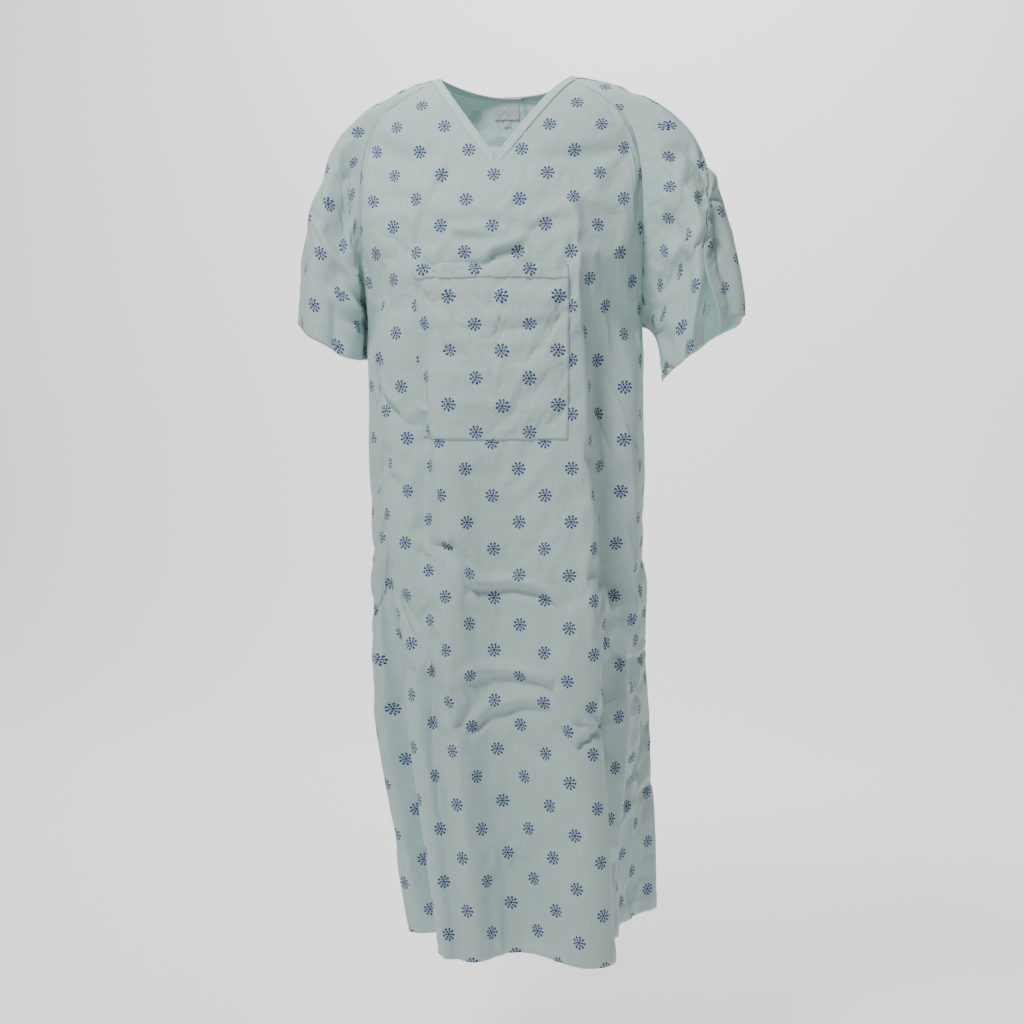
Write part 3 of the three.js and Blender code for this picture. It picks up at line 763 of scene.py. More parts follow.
def rosette(shader, u, v, settings):
    """Ink of the print: round flowers on a half-drop lattice."""
    wide, tall = settings.print_across, settings.print_down
    places = []
    for shift in (0.0, 0.5):
        across = ((u / wide + shift).wrapped() - 0.5) * wide
        down = ((v / tall + shift).wrapped() - 0.5) * tall
        away = (across * across + down * down).math("SQRT")
        places.append((across, down, away))
    (a0, d0, r0), (a1, d1, r1) = places
    first = r0 < r1
    across = a1 + (a0 - a1) * first
    down = d1 + (d0 - d1) * first
    away = (r1 + (r0 - r1) * first) / (settings.rosette_size / 2)
    turn = shader.math("ARCTAN2", down, across)
    inner = 0.20 - away
    petals = 0.19 * (0.50 + 0.80 * (turn * 6.0).cosine()) - abs(away - 0.40)
    leaves = 0.15 * (0.55 + 0.85 * (turn * 9.0 + 0.7).cosine()) - abs(away - 0.83)
    dots = 0.05 * (0.1 - (turn * 6.0).cosine()) - abs(away - 0.60)
    ink = inner.at_least(petals).at_least(leaves).at_least(dots)
    return (ink / 0.04 + 0.6).clamped()


def print_cloth(name, settings, strength, pale_reverse_and_painted_light, painted_glow_strength):
    """Printed poplin. lit_through is the light that comes through the thin cloth from behind."""
    shader = Shader(name)
    u, v = shader.flat_place()
    warp = shader.noise(shader.vector(u * 1500.0, v * 26.0), 1.0, 1.0)
    weft = shader.noise(shader.vector(u * 26.0, v * 1500.0, 7.0), 1.0, 1.0)
    slubs = shader.noise(shader.vector(u * 420.0, v * 14.0, 3.0), 1.0, 2.0)
    cloudy = shader.noise(shader.vector(u, v, 1.0), 9.0, 3.0)
    rumple = shader.noise(shader.vector(u * 1.0, v * 1.7, 5.0), 34.0, 3.0, 0.8)
    fine = shader.noise(shader.vector(u, v, 9.0), 120.0, 2.0, 0.4)
    threads = (warp - 0.5) * 0.75 + (weft - 0.5) * 0.35 + (slubs - 0.5) * 0.9
    # Dividing by the fourth argument below 1 pales the ground. This is partly the paler reverse face of the cloth
    # and partly painted light on the shaded inside.
    light = tuple(min(1.0, c * 1.10 / pale_reverse_and_painted_light) for c in settings.cloth_colour[:3]) + (1.0,)
    dark = tuple(c * 0.88 / pale_reverse_and_painted_light for c in settings.cloth_colour[:3]) + (1.0,)
    tone = (0.5 + threads * 0.55 + (cloudy - 0.5) * 0.5).clamped()
    ground = shader.mixed(tone, dark, light)
    worn = shader.noise(shader.vector(u, v, 4.0), 900.0, 2.0)
    ink = rosette(shader, u, v, settings) * (0.75 + 0.45 * worn).clamped() * strength
    colour = shader.mixed(ink, ground, tuple(settings.print_colour[:3]) + (1.0,))
    roughness = (0.78 + (cloudy - 0.5) * 0.16 + threads * 0.10).clamped()
    height = threads * 0.16 + rumple * 1.5 + fine * 0.35
    # Painted glow: the light ground tone is emitted at the last argument's strength, in place of light shining
    # through the cloth.
    constants = {"Specular IOR Level": 0.28, "Sheen Weight": 0.10, "Sheen Roughness": 0.5,
                 "Emission Color": light, "Emission Strength": painted_glow_strength}
    return shader.finish(constants, colour, roughness, height, settings.crumple)


def plain_binding(settings):
    shader = Shader("binding_cloth")
    u, v = shader.flat_place()
    bias = shader.noise(shader.vector((u + v) * 900.0, (u - v) * 60.0), 1.0, 1.0)
    rumple = shader.noise(shader.vector(u * 60.0, v * 160.0, 2.0), 1.0, 2.0)
    dark = tuple(c * 0.88 for c in settings.binding_colour[:3]) + (1.0,)
    light = tuple(min(1.0, c * 1.08) for c in settings.binding_colour[:3]) + (1.0,)
    colour = shader.mixed((bias * 0.5 + rumple * 0.5).clamped(), dark, light)
    height = bias * 0.25 + rumple * 0.6
    constants = {"Specular IOR Level": 0.3, "Sheen Weight": 0.12, "Sheen Roughness": 0.5}
    return shader.finish(constants, colour, (0.7 + bias * 0.15).clamped(), height, 0.0006)


def label_satin():
    shader = Shader("label_satin")
    u, v = shader.flat_place()
    rows = shader.noise(shader.vector(u * 60.0, v * 2600.0), 1.0, 1.0)
    cloudy = shader.noise(shader.vector(u, v), 160.0, 2.0)
    colour = shader.mixed((rows * 0.6 + cloudy * 0.4).clamped(), (0.52, 0.50, 0.60, 1.0),
                          (0.74, 0.72, 0.80, 1.0))
    constants = {"Specular IOR Level": 0.5, "Sheen Weight": 0.2}
    return shader.finish(constants, colour, (0.36 + rows * 0.2).clamped(), rows, 0.0001)


def snap_plastic():
    shader = Shader("snap_plastic")
    place = shader.object_place()
    scuffs = shader.noise(place, 900.0, 3.0)
    cloudy = shader.noise(place, 140.0, 2.0)
    colour = shader.mixed(cloudy, (0.20, 0.42, 0.34, 1.0), (0.32, 0.56, 0.47, 1.0))
    constants = {"Specular IOR Level": 0.5, "Coat Roughness": 0.2}
    return shader.finish(constants, colour, (0.28 + scuffs * 0.25).clamped(), scuffs, 0.00006)


def sewing_thread():
    shader = Shader("sewing_thread")
    place = shader.object_place()
    twist = shader.noise(place, 2400.0, 1.0)
    colour = shader.mixed(twist, (0.36, 0.50, 0.45, 1.0), (0.58, 0.72, 0.66, 1.0))
    constants = {"Specular IOR Level": 0.35, "Sheen Weight": 0.1}
    return shader.finish(constants, colour, (0.6 + twist * 0.2).clamped(), twist, 0.0001)


MATERIALS = {}


def material(name):
    if not MATERIALS:
        settings = bpy.context.scene.gown
        MATERIALS["print"] = print_cloth("print_cloth", settings, 1.0, 1.0, 0.0)
        # Inside face: faint print, a ground paled partly as painted light on its shaded side, and a painted glow
        # that stands in for light through the cloth.
        MATERIALS["inside"] = print_cloth("print_cloth_inside", settings, 0.34, 0.85, 0.09)
        MATERIALS["binding"] = plain_binding(settings)
        MATERIALS["label"] = label_satin()
        MATERIALS["snap"] = snap_plastic()
        MATERIALS["thread"] = sewing_thread()
    return MATERIALS[name]


# ---- Making pieces --------------------------------------------------------------------------------
def add_object(name, mesh, materials):
    obj = bpy.data.objects.new(name, mesh)
    bpy.context.scene.collection.objects.link(obj)
    for entry in materials:
        obj.data.materials.append(material(entry))
    return obj


def sheet_object(name, points, flat, materials, thickness, flip=False):
    """A sheet of cloth on a grid of points, with its flat pattern as its UV map."""
    rows, columns = points.shape[:2]
    faces = grid_faces(rows, columns, False)
    if flip:
        faces = faces[:, ::-1]
    mesh = mesh_from(name, points, faces)
    layer = mesh.uv_layers.new(name="flat")
    corners = flat.reshape(-1, 2)[faces.ravel()]
    layer.data.foreach_set("uv", corners.astype(np.float32).ravel())
    mesh.polygons.foreach_set("use_smooth", np.ones(len(faces), bool))
    obj = add_object(name, mesh, materials)
    if thickness:
        solid = obj.modifiers.new("thickness", "SOLIDIFY")
        solid.thickness = thickness
        solid.offset = -1
        solid.use_even_offset = False
        solid.use_quality_normals = True
        solid.material_offset = len(materials) - 1
        apply_modifiers(obj)
    return obj


def apply_modifiers(obj):
    evaluated = obj.evaluated_get(bpy.context.evaluated_depsgraph_get())
    mesh = bpy.data.meshes.new_from_object(evaluated)
    old = obj.data
    obj.modifiers.clear()
    obj.data = mesh
    mesh.name = obj.name
    bpy.data.meshes.remove(old)


def cut_size(points):
    """Mean width, mean length and area that a piece on a grid of points was cut to."""
    wide = np.linalg.norm(np.diff(points, axis=1), axis=-1).sum(1).mean()
    tall = np.linalg.norm(np.diff(points, axis=0), axis=-1).sum(0).mean()
    a, b = points[1:, 1:] - points[:-1, :-1], points[1:, :-1] - points[:-1, 1:]
    area = np.linalg.norm(np.cross(a, b), axis=-1).sum() / 2
    return (float(wide), float(tall)), float(min(area, wide * tall))


def declare(points, nodes):
    size, area = cut_size(points)
    if nodes:
        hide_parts(*nodes)


def joint_named(name):
    return next(j for j in frame["joints"] if j["name"] == name)


def blend_over(obj, joint_name, flap_node):
    """obj bends along a joint's axis, towards the flap that the joint carries."""
    joint = joint_named(joint_name)
    axis, at = Vector(joint["axis"]).normalized(), Vector(joint["pos_m"])
    low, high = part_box(flap_node)
    across = (low + high) / 2 - at
    across = (across - axis * across.dot(axis)).normalized()
    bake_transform(obj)


def body_grid(angles, drops, lift=0.0):
    """Points of the hanging body at material places, and their flat pattern."""
    cloth = CLOTHS["body"]
    rows, columns = row_of(angles, drops), column_of(angles)
    points = cloth.at(rows, columns, lift)
    whole = np.interp(columns, np.arange(BODY_COLUMNS), np.arange(BODY_COLUMNS))
    flat = flat_at(cloth, rows, whole)
    return points, flat


def flat_at(cloth, rows, columns):
    """Flat pattern at a place, without crossing the seam where the ring closes."""
    table = cloth.flat
    if not cloth.wraps:
        return cloth.sample(table, rows, columns)
    i = np.clip(np.floor(rows).astype(int), 0, table.shape[0] - 2)
    j = np.clip(np.floor(columns).astype(int), 0, table.shape[1] - 2)
    a = mix(table[i, j], table[i, j + 1], (columns - j)[..., None])
    b = mix(table[i + 1, j], table[i + 1, j + 1], (columns - j)[..., None])
    return mix(a, b, (rows - i)[..., None])


def column_rows(angles, count, top=None):
    """Drops of evenly spaced rows down each column."""
    top = panel_top(angles) if top is None else top
    share = (np.arange(count + 1) / count)[:, None] ** ROW_CROWDING
    return mix(top[None, :], LENGTH, share)


def hem_step(drops):
    """The turned hem stands a little proud of the single cloth."""
    return 0.0007 * smooth((drops - (LENGTH - HEM_DEPTH)) / 3)


def add_front():
    angles = COLUMN_ANGLES[COLUMN_ANGLES <= 0.0]
    fine = np.interp(np.arange(0, len(angles) * 1.5 - 0.5) / 1.5, np.arange(len(angles)), angles)
    fine = np.append(fine[fine < -0.2], 0.0)
    drops = column_rows(fine, 200)
    points, flat = body_grid(fine[None, :] + 0 * drops, drops, hem_step(drops))
    obj = sheet_object("front_cloth", points, flat, ("print", "inside"), bpy.context.scene.gown.thickness)
    declare(points, ["front_panel"])
    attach(obj, "gown")


def flap_edge_angle(drop, hand):
    overlap = mix(NECK_OVERLAP, BACK_OVERLAP, smooth(drop / OVERLAP_DROP))
    return angle_at(-hand * overlap, drop, 1)


def back_places(hand, columns, rows):
    """Angles and drops over one half of the back, from its side seam to its free edge."""
    share = np.linspace(0, 1, columns + 1)
    side = 0.02 if hand > 0 else 179.98
    edge = 90 + hand * 4.0
    for _ in range(3):
        guess = mix(side, edge, share)
        drops = column_rows(guess, rows)
        edge = flap_edge_angle(drops[:, -1:], hand)
        angles = mix(side, edge, share[None, :])
        edge = float(flap_edge_angle(drops[0, -1], hand))
    return angles, drops


def flap_lift(hand, share, drops):
    """The outer half lies over the inner one."""
    settings = bpy.context.scene.gown
    over = 3.2 * settings.thickness if hand > 0 else -0.5 * settings.thickness
    return over * smooth((share - 0.55) / 0.25) + hem_step(drops)


def add_backs():
    for hand, word, joint, flap, nodes in (
        (1, "left", "back_outer_fold", "back_flap_outer", ["back_side_left", "back_flap_outer"]),
        (-1, "right", "back_inner_fold", "back_flap_inner", ["back_side_right", "back_flap_inner"]),
    ):
        angles, drops = back_places(hand, 110, 190)
        share = np.linspace(0, 1, 111)[None, :] + 0 * drops
        points, flat = body_grid(angles, drops, flap_lift(hand, share, drops))
        obj = sheet_object(f"back_cloth_{word}", points, flat, ("print", "inside"),
                           bpy.context.scene.gown.thickness, flip=hand < 0)
        declare(points, nodes)
        blend_over(obj, joint, flap)


# ---- Neck binding ----------------------------------------------------------------------------------
def neckline(hand, end_x):
    """Points, outward normals and lengths along the neckline from the tip of the V."""
    front = np.linspace(-89.75, 0, 90)
    last = float(angle_at(np.array(float(end_x)), np.array(12.0), 1))
    back = np.linspace(0, last, 70)[1:]
    angles = np.concatenate([front, back])
    drops = neck_drop(angles)
    points = body_point(angles, drops)
    across = body_point(angles + 0.3, drops) - body_point(angles - 0.3, drops)
    down = body_point(angles, drops + 1) - body_point(angles, np.maximum(drops - 1, 0))
    normal = np.cross(down, across)
    normal /= np.linalg.norm(normal, axis=-1, keepdims=True)
    mirror = np.array([hand, 1, 1])
    points, normal = points * mirror, normal * mirror
    run = np.concatenate([[0], np.cumsum(np.linalg.norm(np.diff(points, axis=0), axis=-1))])
    even = np.linspace(0, run[-1], 190)
    points = np.stack([np.interp(even, run, points[:, k]) for k in range(3)], -1)
    normal = np.stack([np.interp(even, run, normal[:, k]) for k in range(3)], -1)
    for _ in range(4):
        normal[1:-1] = (normal[:-2] + 2 * normal[1:-1] + normal[2:]) / 4
    normal /= np.linalg.norm(normal, axis=-1, keepdims=True)
    return points, normal, even


def binding_strip(hand, end_x):
    points, normal, run = neckline(hand, end_x)
    tangent = np.gradient(points, axis=0)
    tangent /= np.linalg.norm(tangent, axis=-1, keepdims=True)
    inward = np.cross(normal, tangent) * hand
    inward *= -np.sign(inward[:, 2:3] * 0 + (inward[:1, 2:3] > 0) * 2 - 1)
    half_angle = math.atan2(NECK_HALF_WIDTH, V_DEPTH)
    mitre = np.array([0, -0.25, -1.0])
    mitre = mitre / np.linalg.norm(mitre) / math.sin(half_angle)
    share = smooth(run / 20)[:, None]
    inward = mix(mitre[None, :], inward, share)
    return points, normal, inward, run


BINDING_PROFILE = ((12.0, 0.75), (11.2, 1.15), (8.5, 1.25), (6.0, 1.3), (3.0, 1.3), (0.8, 1.2), (-0.4, 0.7),
                   (-0.7, 0.0), (-0.4, -0.9), (0.8, -1.4), (3.0, -1.5), (6.0, -1.5), (9.0, -1.4), (12.0, -1.2))


# Hand, front half, back half and how far each half's back end lies over the other's.
NECK_SIDES = ((1, "left", "outer", 3.2), (-1, "right", "inner", 0))


def add_binding():
    settings = bpy.context.scene.gown
    for hand, word, back_word, lift in NECK_SIDES:
        points, normal, inward, run = binding_strip(hand, -NECK_OVERLAP)
        over = settings.thickness / MM * lift * smooth((run - run[-1] + 70) / 40)
        rows = []
        for down, out in BINDING_PROFILE:
            wave = 0.15 * np.sin(run * 0.9 + down) * np.sin(run * 0.23)
            away = (out + wave * (abs(out) > 0.5) + over)[:, None]
            rows.append(points + inward * down + normal * away)
        grid = np.stack(rows, 0) * MM
        around = np.concatenate([[0], np.cumsum(np.hypot(*np.diff(np.array(BINDING_PROFILE), axis=0).T))])
        flat = np.stack(np.broadcast_arrays(run[None, :], around[:, None]), -1) * MM
        top = int(np.argmax(points[:, 1] > 0))
        for part, span in ((word, slice(0, top + 1)), (back_word, slice(top, None))):
            obj = sheet_object(f"neck_trim_{part}", grid[:, span], flat[:, span], ("binding",), 0.0004,
                               flip=hand > 0)
            declare(grid[:, span], [f"neck_binding_{part}"])
            if part == word:
                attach(obj, "gown")
            else:
                blend_over(obj, f"back_{part}_fold", f"back_flap_{part}")


# ---- Sleeves -----------------------------------------------------------------------------------------
def flap_edge_turn(v):
    width = mix(FLAP_TOP, FLAP_WIDTH, (v - SLIT_START) / (1 - SLIT_START))
    return np.where(v <= SLIT_START, 0, width * np.clip((v - SLIT_START) / 0.02, 0, 1))


def sleeve_grid(word, u, v, lift=0.0):
    row, column = sleeve_place(word, u, v)
    cloth = CLOTHS[word]
    return cloth.at(row, column, lift), cloth.sample(cloth.flat, row, column)


def gape(word, u, v, over):
    """Below the last snap the slit stands open: how far the cloth moves, in metres."""
    hand = 1 if word == "left" else -1
    wide = {"left": 1.0, "right": 0.35}[word]
    near = 1 - smooth(np.abs(u - slit_turn(v, word)) / 0.2)
    open_share = (smooth((v - SLEEVE_SNAPS[-1]) / 0.3) * near * wide)[..., None]
    if over:
        return open_share * np.array([0.016 * hand, -0.004, 0.022])
    return open_share * np.array([-0.016 * hand, 0.004, -0.012])


def sleeve_hem_step(v):
    return 0.0006 * smooth((v - 0.935) / 0.008)


def add_sleeves():
    thickness = bpy.context.scene.gown.thickness
    for word, hand in (("left", 1), ("right", -1)):
        cloth = ("print", "inside")
        share, v = np.meshgrid(np.linspace(0, 1, 64), np.linspace(0, 1, 80))
        u = mix(slit_turn(v, word) - 0.012, 0.5, share)
        points, flat = sleeve_grid(word, u, v, sleeve_hem_step(v) - 0.0008 * (1 - smooth(share / 0.1)))
        points = points + gape(word, u, v, False)
        obj = sheet_object(f"sleeve_front_cloth_{word}", points, flat, cloth, thickness, flip=hand > 0)
        declare(points, [f"sleeve_front_{word}"])
        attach(obj, "gown")

        v_upper = np.where(v < 0.5, mix(0, SLIT_START + 0.01, v / 0.5), mix(SLIT_START + 0.02, 1, (v - 0.5) / 0.5))
        over_edge = slit_turn(v_upper, word) + 0.012 * (v_upper < SLIT_START + 0.015) - flap_edge_turn(v_upper)
        u = mix(over_edge, -0.5, share)
        near_seam = (1 - smooth(share / 0.06)) * (v_upper < SLIT_START + 0.015)
        points, flat = sleeve_grid(word, u, v_upper, sleeve_hem_step(v_upper) + 0.0009 * near_seam)
        points = points + gape(word, u, v_upper, True)
        obj = sheet_object(f"sleeve_back_cloth_{word}", points, flat, cloth, thickness, flip=hand < 0)
        declare(points, [f"sleeve_back_{word}"])
        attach(obj, "gown")

        share, v = np.meshgrid(np.linspace(0, 1, 30), np.linspace(SLIT_START + 0.02, 1, 56))
        u = slit_turn(v, word) + mix(-flap_edge_turn(v), PLACKET_OVER, share)
        lift = sleeve_hem_step(v) + 0.0022 * smooth((share - 0.5) / 0.3)
        points, flat = sleeve_grid(word, u, v, lift)
        points = points + gape(word, u, v, True)
        obj = sheet_object(f"sleeve_flap_cloth_{word}", points, flat, cloth, thickness, flip=hand > 0)
        declare(points, [f"sleeve_flap_{word}", f"sleeve_placket_{word}"])
        blend_over(obj, f"sleeve_{word}_fold", f"sleeve_flap_{word}")


# ---- Pocket ---------------------------------------------------------------------------------------------
def pocket_lift(across, down):
    bulge = np.sin(math.pi * np.clip(across, 0, 1)) ** 0.8 * np.cos(math.pi / 2 * np.clip(down, 0, 1)) ** 1.4
    rumple = 0
    for place, tilt, out, width in ((0.16, 0.05, 2.4, 0.030), (0.30, -0.06, 2.6, 0.034),
                                    (0.44, 0.03, 1.8, 0.03), (0.60, -0.03, 2.6, 0.045),
                                    (0.79, 0.04, 2.0, 0.035)):
        away = down - place - tilt * (across - 0.5)
        rumple = rumple + out / np.cosh(np.clip(away / width, -20, 20))
    sides = smooth(across / 0.12) * smooth((1 - across) / 0.10) * smooth((1 - down) / 0.08)
    return (1.3 + 5.5 * bulge + 1.1 * rumple * sides) * MM


def pocket_grid(across, down, extra=0.0):
    x = POCKET_CENTRE + (across - 0.5) * POCKET_WIDTH
    drop = POCKET_TOP + down * POCKET_HEIGHT - 3 * np.sin(math.pi * np.clip(across, 0, 1)) * (1 - down) ** 4
    points, _ = body_grid(angle_at(x, drop, -1), drop, pocket_lift(across, down) + extra)
    flat = np.stack([x + 21, -drop - 13], -1) * MM
    return points, flat


def add_pocket():
    thickness = bpy.context.scene.gown.thickness
    across, down = np.meshgrid(np.linspace(0, 1, 96), np.linspace(0, 1, 100))
    edge = 0.0004 * (1 - smooth(np.minimum(across, 1 - across) / 0.045))
    points, flat = pocket_grid(across, down, edge)
    obj = sheet_object("pocket_cloth", points, flat, ("print", "inside"), thickness)
    declare(points, ["chest_pocket"])
    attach(obj, "gown")
    across, down = np.meshgrid(np.linspace(0, 1, 96), np.linspace(-0.002, POCKET_HEM / POCKET_HEIGHT, 12))
    points, flat = pocket_grid(across, down, thickness * 1.6)
    obj = sheet_object("pocket_hem_band", points, flat, ("print",), thickness)
    declare(points, ["pocket_hem"])
    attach(obj, "gown")


# ---- Labels ----------------------------------------------------------------------------------------------
def add_labels():
    left, top = LABEL_PLACE
    for name, node, width, height, drop in (
        ("neck_label_satin", "neck_label", LABEL_SIZE[0], LABEL_SIZE[1], top),
        ("size_label_satin", "size_label", SIZE_LABEL, SIZE_LABEL, top + LABEL_SIZE[1] - 1),
    ):
        across, down = np.meshgrid(np.linspace(0, 1, 28), np.linspace(0, 1, 18))
        x, depth = left + (across - 0.5) * width, drop + down * height
        curl = -(1.6 + 0.8 * down ** 2) * MM
        points, _ = body_grid(angle_at(x, depth, 1), depth, curl)
        flat = np.stack([x, -depth], -1) * MM
        obj = sheet_object(name, points, flat, ("label",), 0.0003)
        declare(points, [node])
        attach(obj, "back_inner")


# ---- Snaps -------------------------------------------------------------------------------------------------
CAP_PROFILE = ((0, 1.9), (1.2, 1.85), (2.2, 1.4), (2.8, 1.3), (4.4, 1.7), (5.4, 1.5), (6.0, 0.8), (6.0, 0.1),
               (0, 0))
POST_PROFILE = ((0, 2.6), (1.1, 2.5), (1.4, 1.6), (1.5, 0.9), (4.6, 0.8), (5.6, 0.6), (5.9, 0.2), (5.7, 0),
                (0, 0))


def turned_disc(centre, normal, profile, segments=28):
    """A small turned part standing on a point, its axis along the normal."""
    normal = normal / np.linalg.norm(normal)
    side = np.cross(normal, [0.0, 0.0, 1.0])
    side /= np.linalg.norm(side)
    other = np.cross(normal, side)
    turn = np.linspace(0, 2 * math.pi, segments, endpoint=False)
    rings = [centre + normal * profile[0][1] * MM]
    for radius, height in profile[1:-1]:
        ring = np.outer(np.cos(turn), side) + np.outer(np.sin(turn), other)
        rings.extend(centre + ring * radius * MM + normal * height * MM)
    rings.append(centre + normal * profile[-1][1] * MM)
    faces = [(0, 1 + k, 1 + (k + 1) % segments) for k in range(segments)]
    for level in range(len(profile) - 3):
        a, b = 1 + level * segments, 1 + (level + 1) * segments
        faces += [(a + k, b + k, b + (k + 1) % segments, a + (k + 1) % segments) for k in range(segments)]
    last = len(rings) - 1
    a = last - segments
    faces += [(last, a + (k + 1) % segments, a + k) for k in range(segments)]
    return np.array(rings), faces


def snap_group(name, places, profile, nodes, body):
    """Snaps of one kind on one body, as one piece."""
    points, faces = [], []
    for centre, normal in places:
        ring, found = turned_disc(centre, normal, profile)
        start = sum(len(p) for p in points)
        faces += [tuple(start + k for k in face) for face in found]
        points.append(ring)
    mesh = bpy.data.meshes.new(name)
    mesh.from_pydata(np.concatenate(points).tolist(), [], faces)
    mesh.update()
    mesh.polygons.foreach_set("use_smooth", np.ones(len(faces), bool))
    obj = add_object(name, mesh, ("snap",))
    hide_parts(*nodes)
    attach(obj, body)
    outward = bmesh_outward(obj)
    return outward


def bmesh_outward(obj):
    import bmesh
    work = bmesh.new()
    work.from_mesh(obj.data)
    bmesh.ops.recalc_face_normals(work, faces=work.faces)
    work.to_mesh(obj.data)
    work.free()
    return obj


def cloth_normal(at, *place):
    """Point and outward normal of the cloth at a place, from two lifts."""
    low, high = at(*place, 0.0), at(*place, 0.01)
    return low, (high - low) / np.linalg.norm(high - low)


def add_snaps():
    def on_back(drop, lift):
        places = np.array([drop], float)
        return body_grid(angle_at(BACK_SNAP_X + 0 * places, places, 1), places, lift)[0][0]

    thickness = bpy.context.scene.gown.thickness
    caps, posts = [], []
    for drop in BACK_SNAPS:
        point, normal = cloth_normal(on_back, drop)
        caps.append((point + normal * thickness * 3.2, normal))
        posts.append((point - normal * thickness * 1.6, -normal))
    snap_group("back_snap_caps", caps, CAP_PROFILE, [f"back_snap_socket_{k}" for k in (1, 2, 3)], "back_outer")
    snap_group("back_snap_backs", posts, CAP_PROFILE, [f"back_snap_stud_{k}" for k in (1, 2, 3)], "back_inner")
    for word in ("left", "right"):
        def on_sleeve(v, lift):
            v = np.array([v], float)
            u = slit_turn(v, word) + PLACKET_OVER * 0.5
            return sleeve_grid(word, u, v, lift)[0][0]

        caps, posts = [], []
        for v in SLEEVE_SNAPS:
            point, normal = cloth_normal(on_sleeve, v)
            caps.append((point + normal * 0.0022, normal))
            posts.append((point - normal * (thickness + 0.0006), -normal))
        names = [f"sleeve_snap_socket_{word}_{k}" for k in (1, 2, 3)]
        snap_group(f"sleeve_snap_caps_{word}", caps, CAP_PROFILE, names, f"sleeve_opening_{word}")
        names = [f"sleeve_snap_stud_{word}_{k}" for k in (1, 2, 3)]
        snap_group(f"sleeve_snap_backs_{word}", posts, CAP_PROFILE, names, "gown")


# ---- Stitching -----------------------------------------------------------------------------------------------
def stitch_tree():
    """Geometry Nodes that lay one short stitch at each step along edges."""
    tree = bpy.data.node_groups.new("stitch_run", "GeometryNodeTree")
    face = tree.interface
    face.new_socket("Geometry", in_out="INPUT", socket_type="NodeSocketGeometry")
    for name, value in (("Stitch Length", 0.0026), ("Stitch Pitch", 0.0034), ("Thread Width", 0.0006)):
        face.new_socket(name, in_out="INPUT", socket_type="NodeSocketFloat").default_value = value
    face.new_socket("Thread", in_out="INPUT", socket_type="NodeSocketMaterial")
    face.new_socket("Geometry", in_out="OUTPUT", socket_type="NodeSocketGeometry")
    nodes, links = tree.nodes, tree.links
    start, end = nodes.new("NodeGroupInput"), nodes.new("NodeGroupOutput")
    curve = nodes.new("GeometryNodeMeshToCurve")
    spots = nodes.new("GeometryNodeCurveToPoints")
    spots.mode = "LENGTH"
    turn = nodes.new("FunctionNodeAlignRotationToVector")
    turn.axis = "X"
    stitch = nodes.new("GeometryNodeMeshUVSphere")
    stitch.inputs["Segments"].default_value = 6
    stitch.inputs["Rings"].default_value = 4
    stitch.inputs["Radius"].default_value = 0.5
    size = nodes.new("ShaderNodeCombineXYZ")
    place = nodes.new("GeometryNodeInstanceOnPoints")
    real = nodes.new("GeometryNodeRealizeInstances")
    finish = nodes.new("GeometryNodeSetMaterial")
    for source, target in (
        (start.outputs["Geometry"], curve.inputs[0]), (curve.outputs[0], spots.inputs["Curve"]),
        (start.outputs["Stitch Pitch"], spots.inputs["Length"]),
        (spots.outputs["Tangent"], turn.inputs["Vector"]),
        (start.outputs["Stitch Length"], size.inputs["X"]), (start.outputs["Thread Width"], size.inputs["Y"]),
        (start.outputs["Thread Width"], size.inputs["Z"]), (spots.outputs["Points"], place.inputs["Points"]),
        (stitch.outputs["Mesh"], place.inputs["Instance"]), (turn.outputs[0], place.inputs["Rotation"]),
        (size.outputs[0], place.inputs["Scale"]), (place.outputs[0], real.inputs[0]),
        (real.outputs[0], finish.inputs["Geometry"]), (start.outputs["Thread"], finish.inputs["Material"]),
        (finish.outputs[0], end.inputs[0]),
    ):
        links.new(source, target)
    return tree


def stitch_object(name, runs):
    """One plain mesh of stitches along runs of points."""
    tree = bpy.data.node_groups.get("stitch_run") or stitch_tree()
    settings = bpy.context.scene.gown
    points, edges = [], []
    for run in runs:
        start = sum(len(p) for p in points)
        points.append(run)
        edges += [(start + k, start + k + 1) for k in range(len(run) - 1)]
    mesh = bpy.data.meshes.new(name)
    mesh.from_pydata(np.concatenate(points).tolist(), edges, [])
    obj = add_object(name, mesh, ())
    modifier = obj.modifiers.new("stitches", "NODES")
    modifier.node_group = tree
    inputs = {item.name: item.identifier for item in tree.interface.items_tree if item.in_out == "INPUT"}
    modifier[inputs["Stitch Length"]] = settings.stitch_length
    modifier[inputs["Stitch Pitch"]] = settings.stitch_pitch
    modifier[inputs["Thread Width"]] = settings.thread_width
    modifier[inputs["Thread"]] = material("thread")
    apply_modifiers(obj)
    obj.data.polygons.foreach_set("use_smooth", np.ones(len(obj.data.polygons), bool))
    return obj


STITCH_LIFT = 0.00022


def body_run(angles, drops, lift=0.0):
    return body_grid(np.asarray(angles, float), np.asarray(drops, float), lift + STITCH_LIFT)[0]


def add_front_stitching():
    angles = np.linspace(-179.6, -0.4, 420)
    hem = body_run(angles, np.full(420, LENGTH - HEM_DEPTH + 1.5), 0.0002)
    runs = [hem]
    for side in (-1, 1):
        corner = corner_angle(-1)
        drops = np.linspace(float(panel_top(np.array([-corner - 0.5]))[0]), ARMPIT_DROP - 4, 150)
        columns = raglan_angle(drops, -1)
        offset = 4.5 / 2.9
        angles = -(columns + offset) if side > 0 else -180 + columns + offset
        runs.append(body_run(angles, drops + 1.0))
    obj = stitch_object("front_stitching", runs)
    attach(obj, "gown")


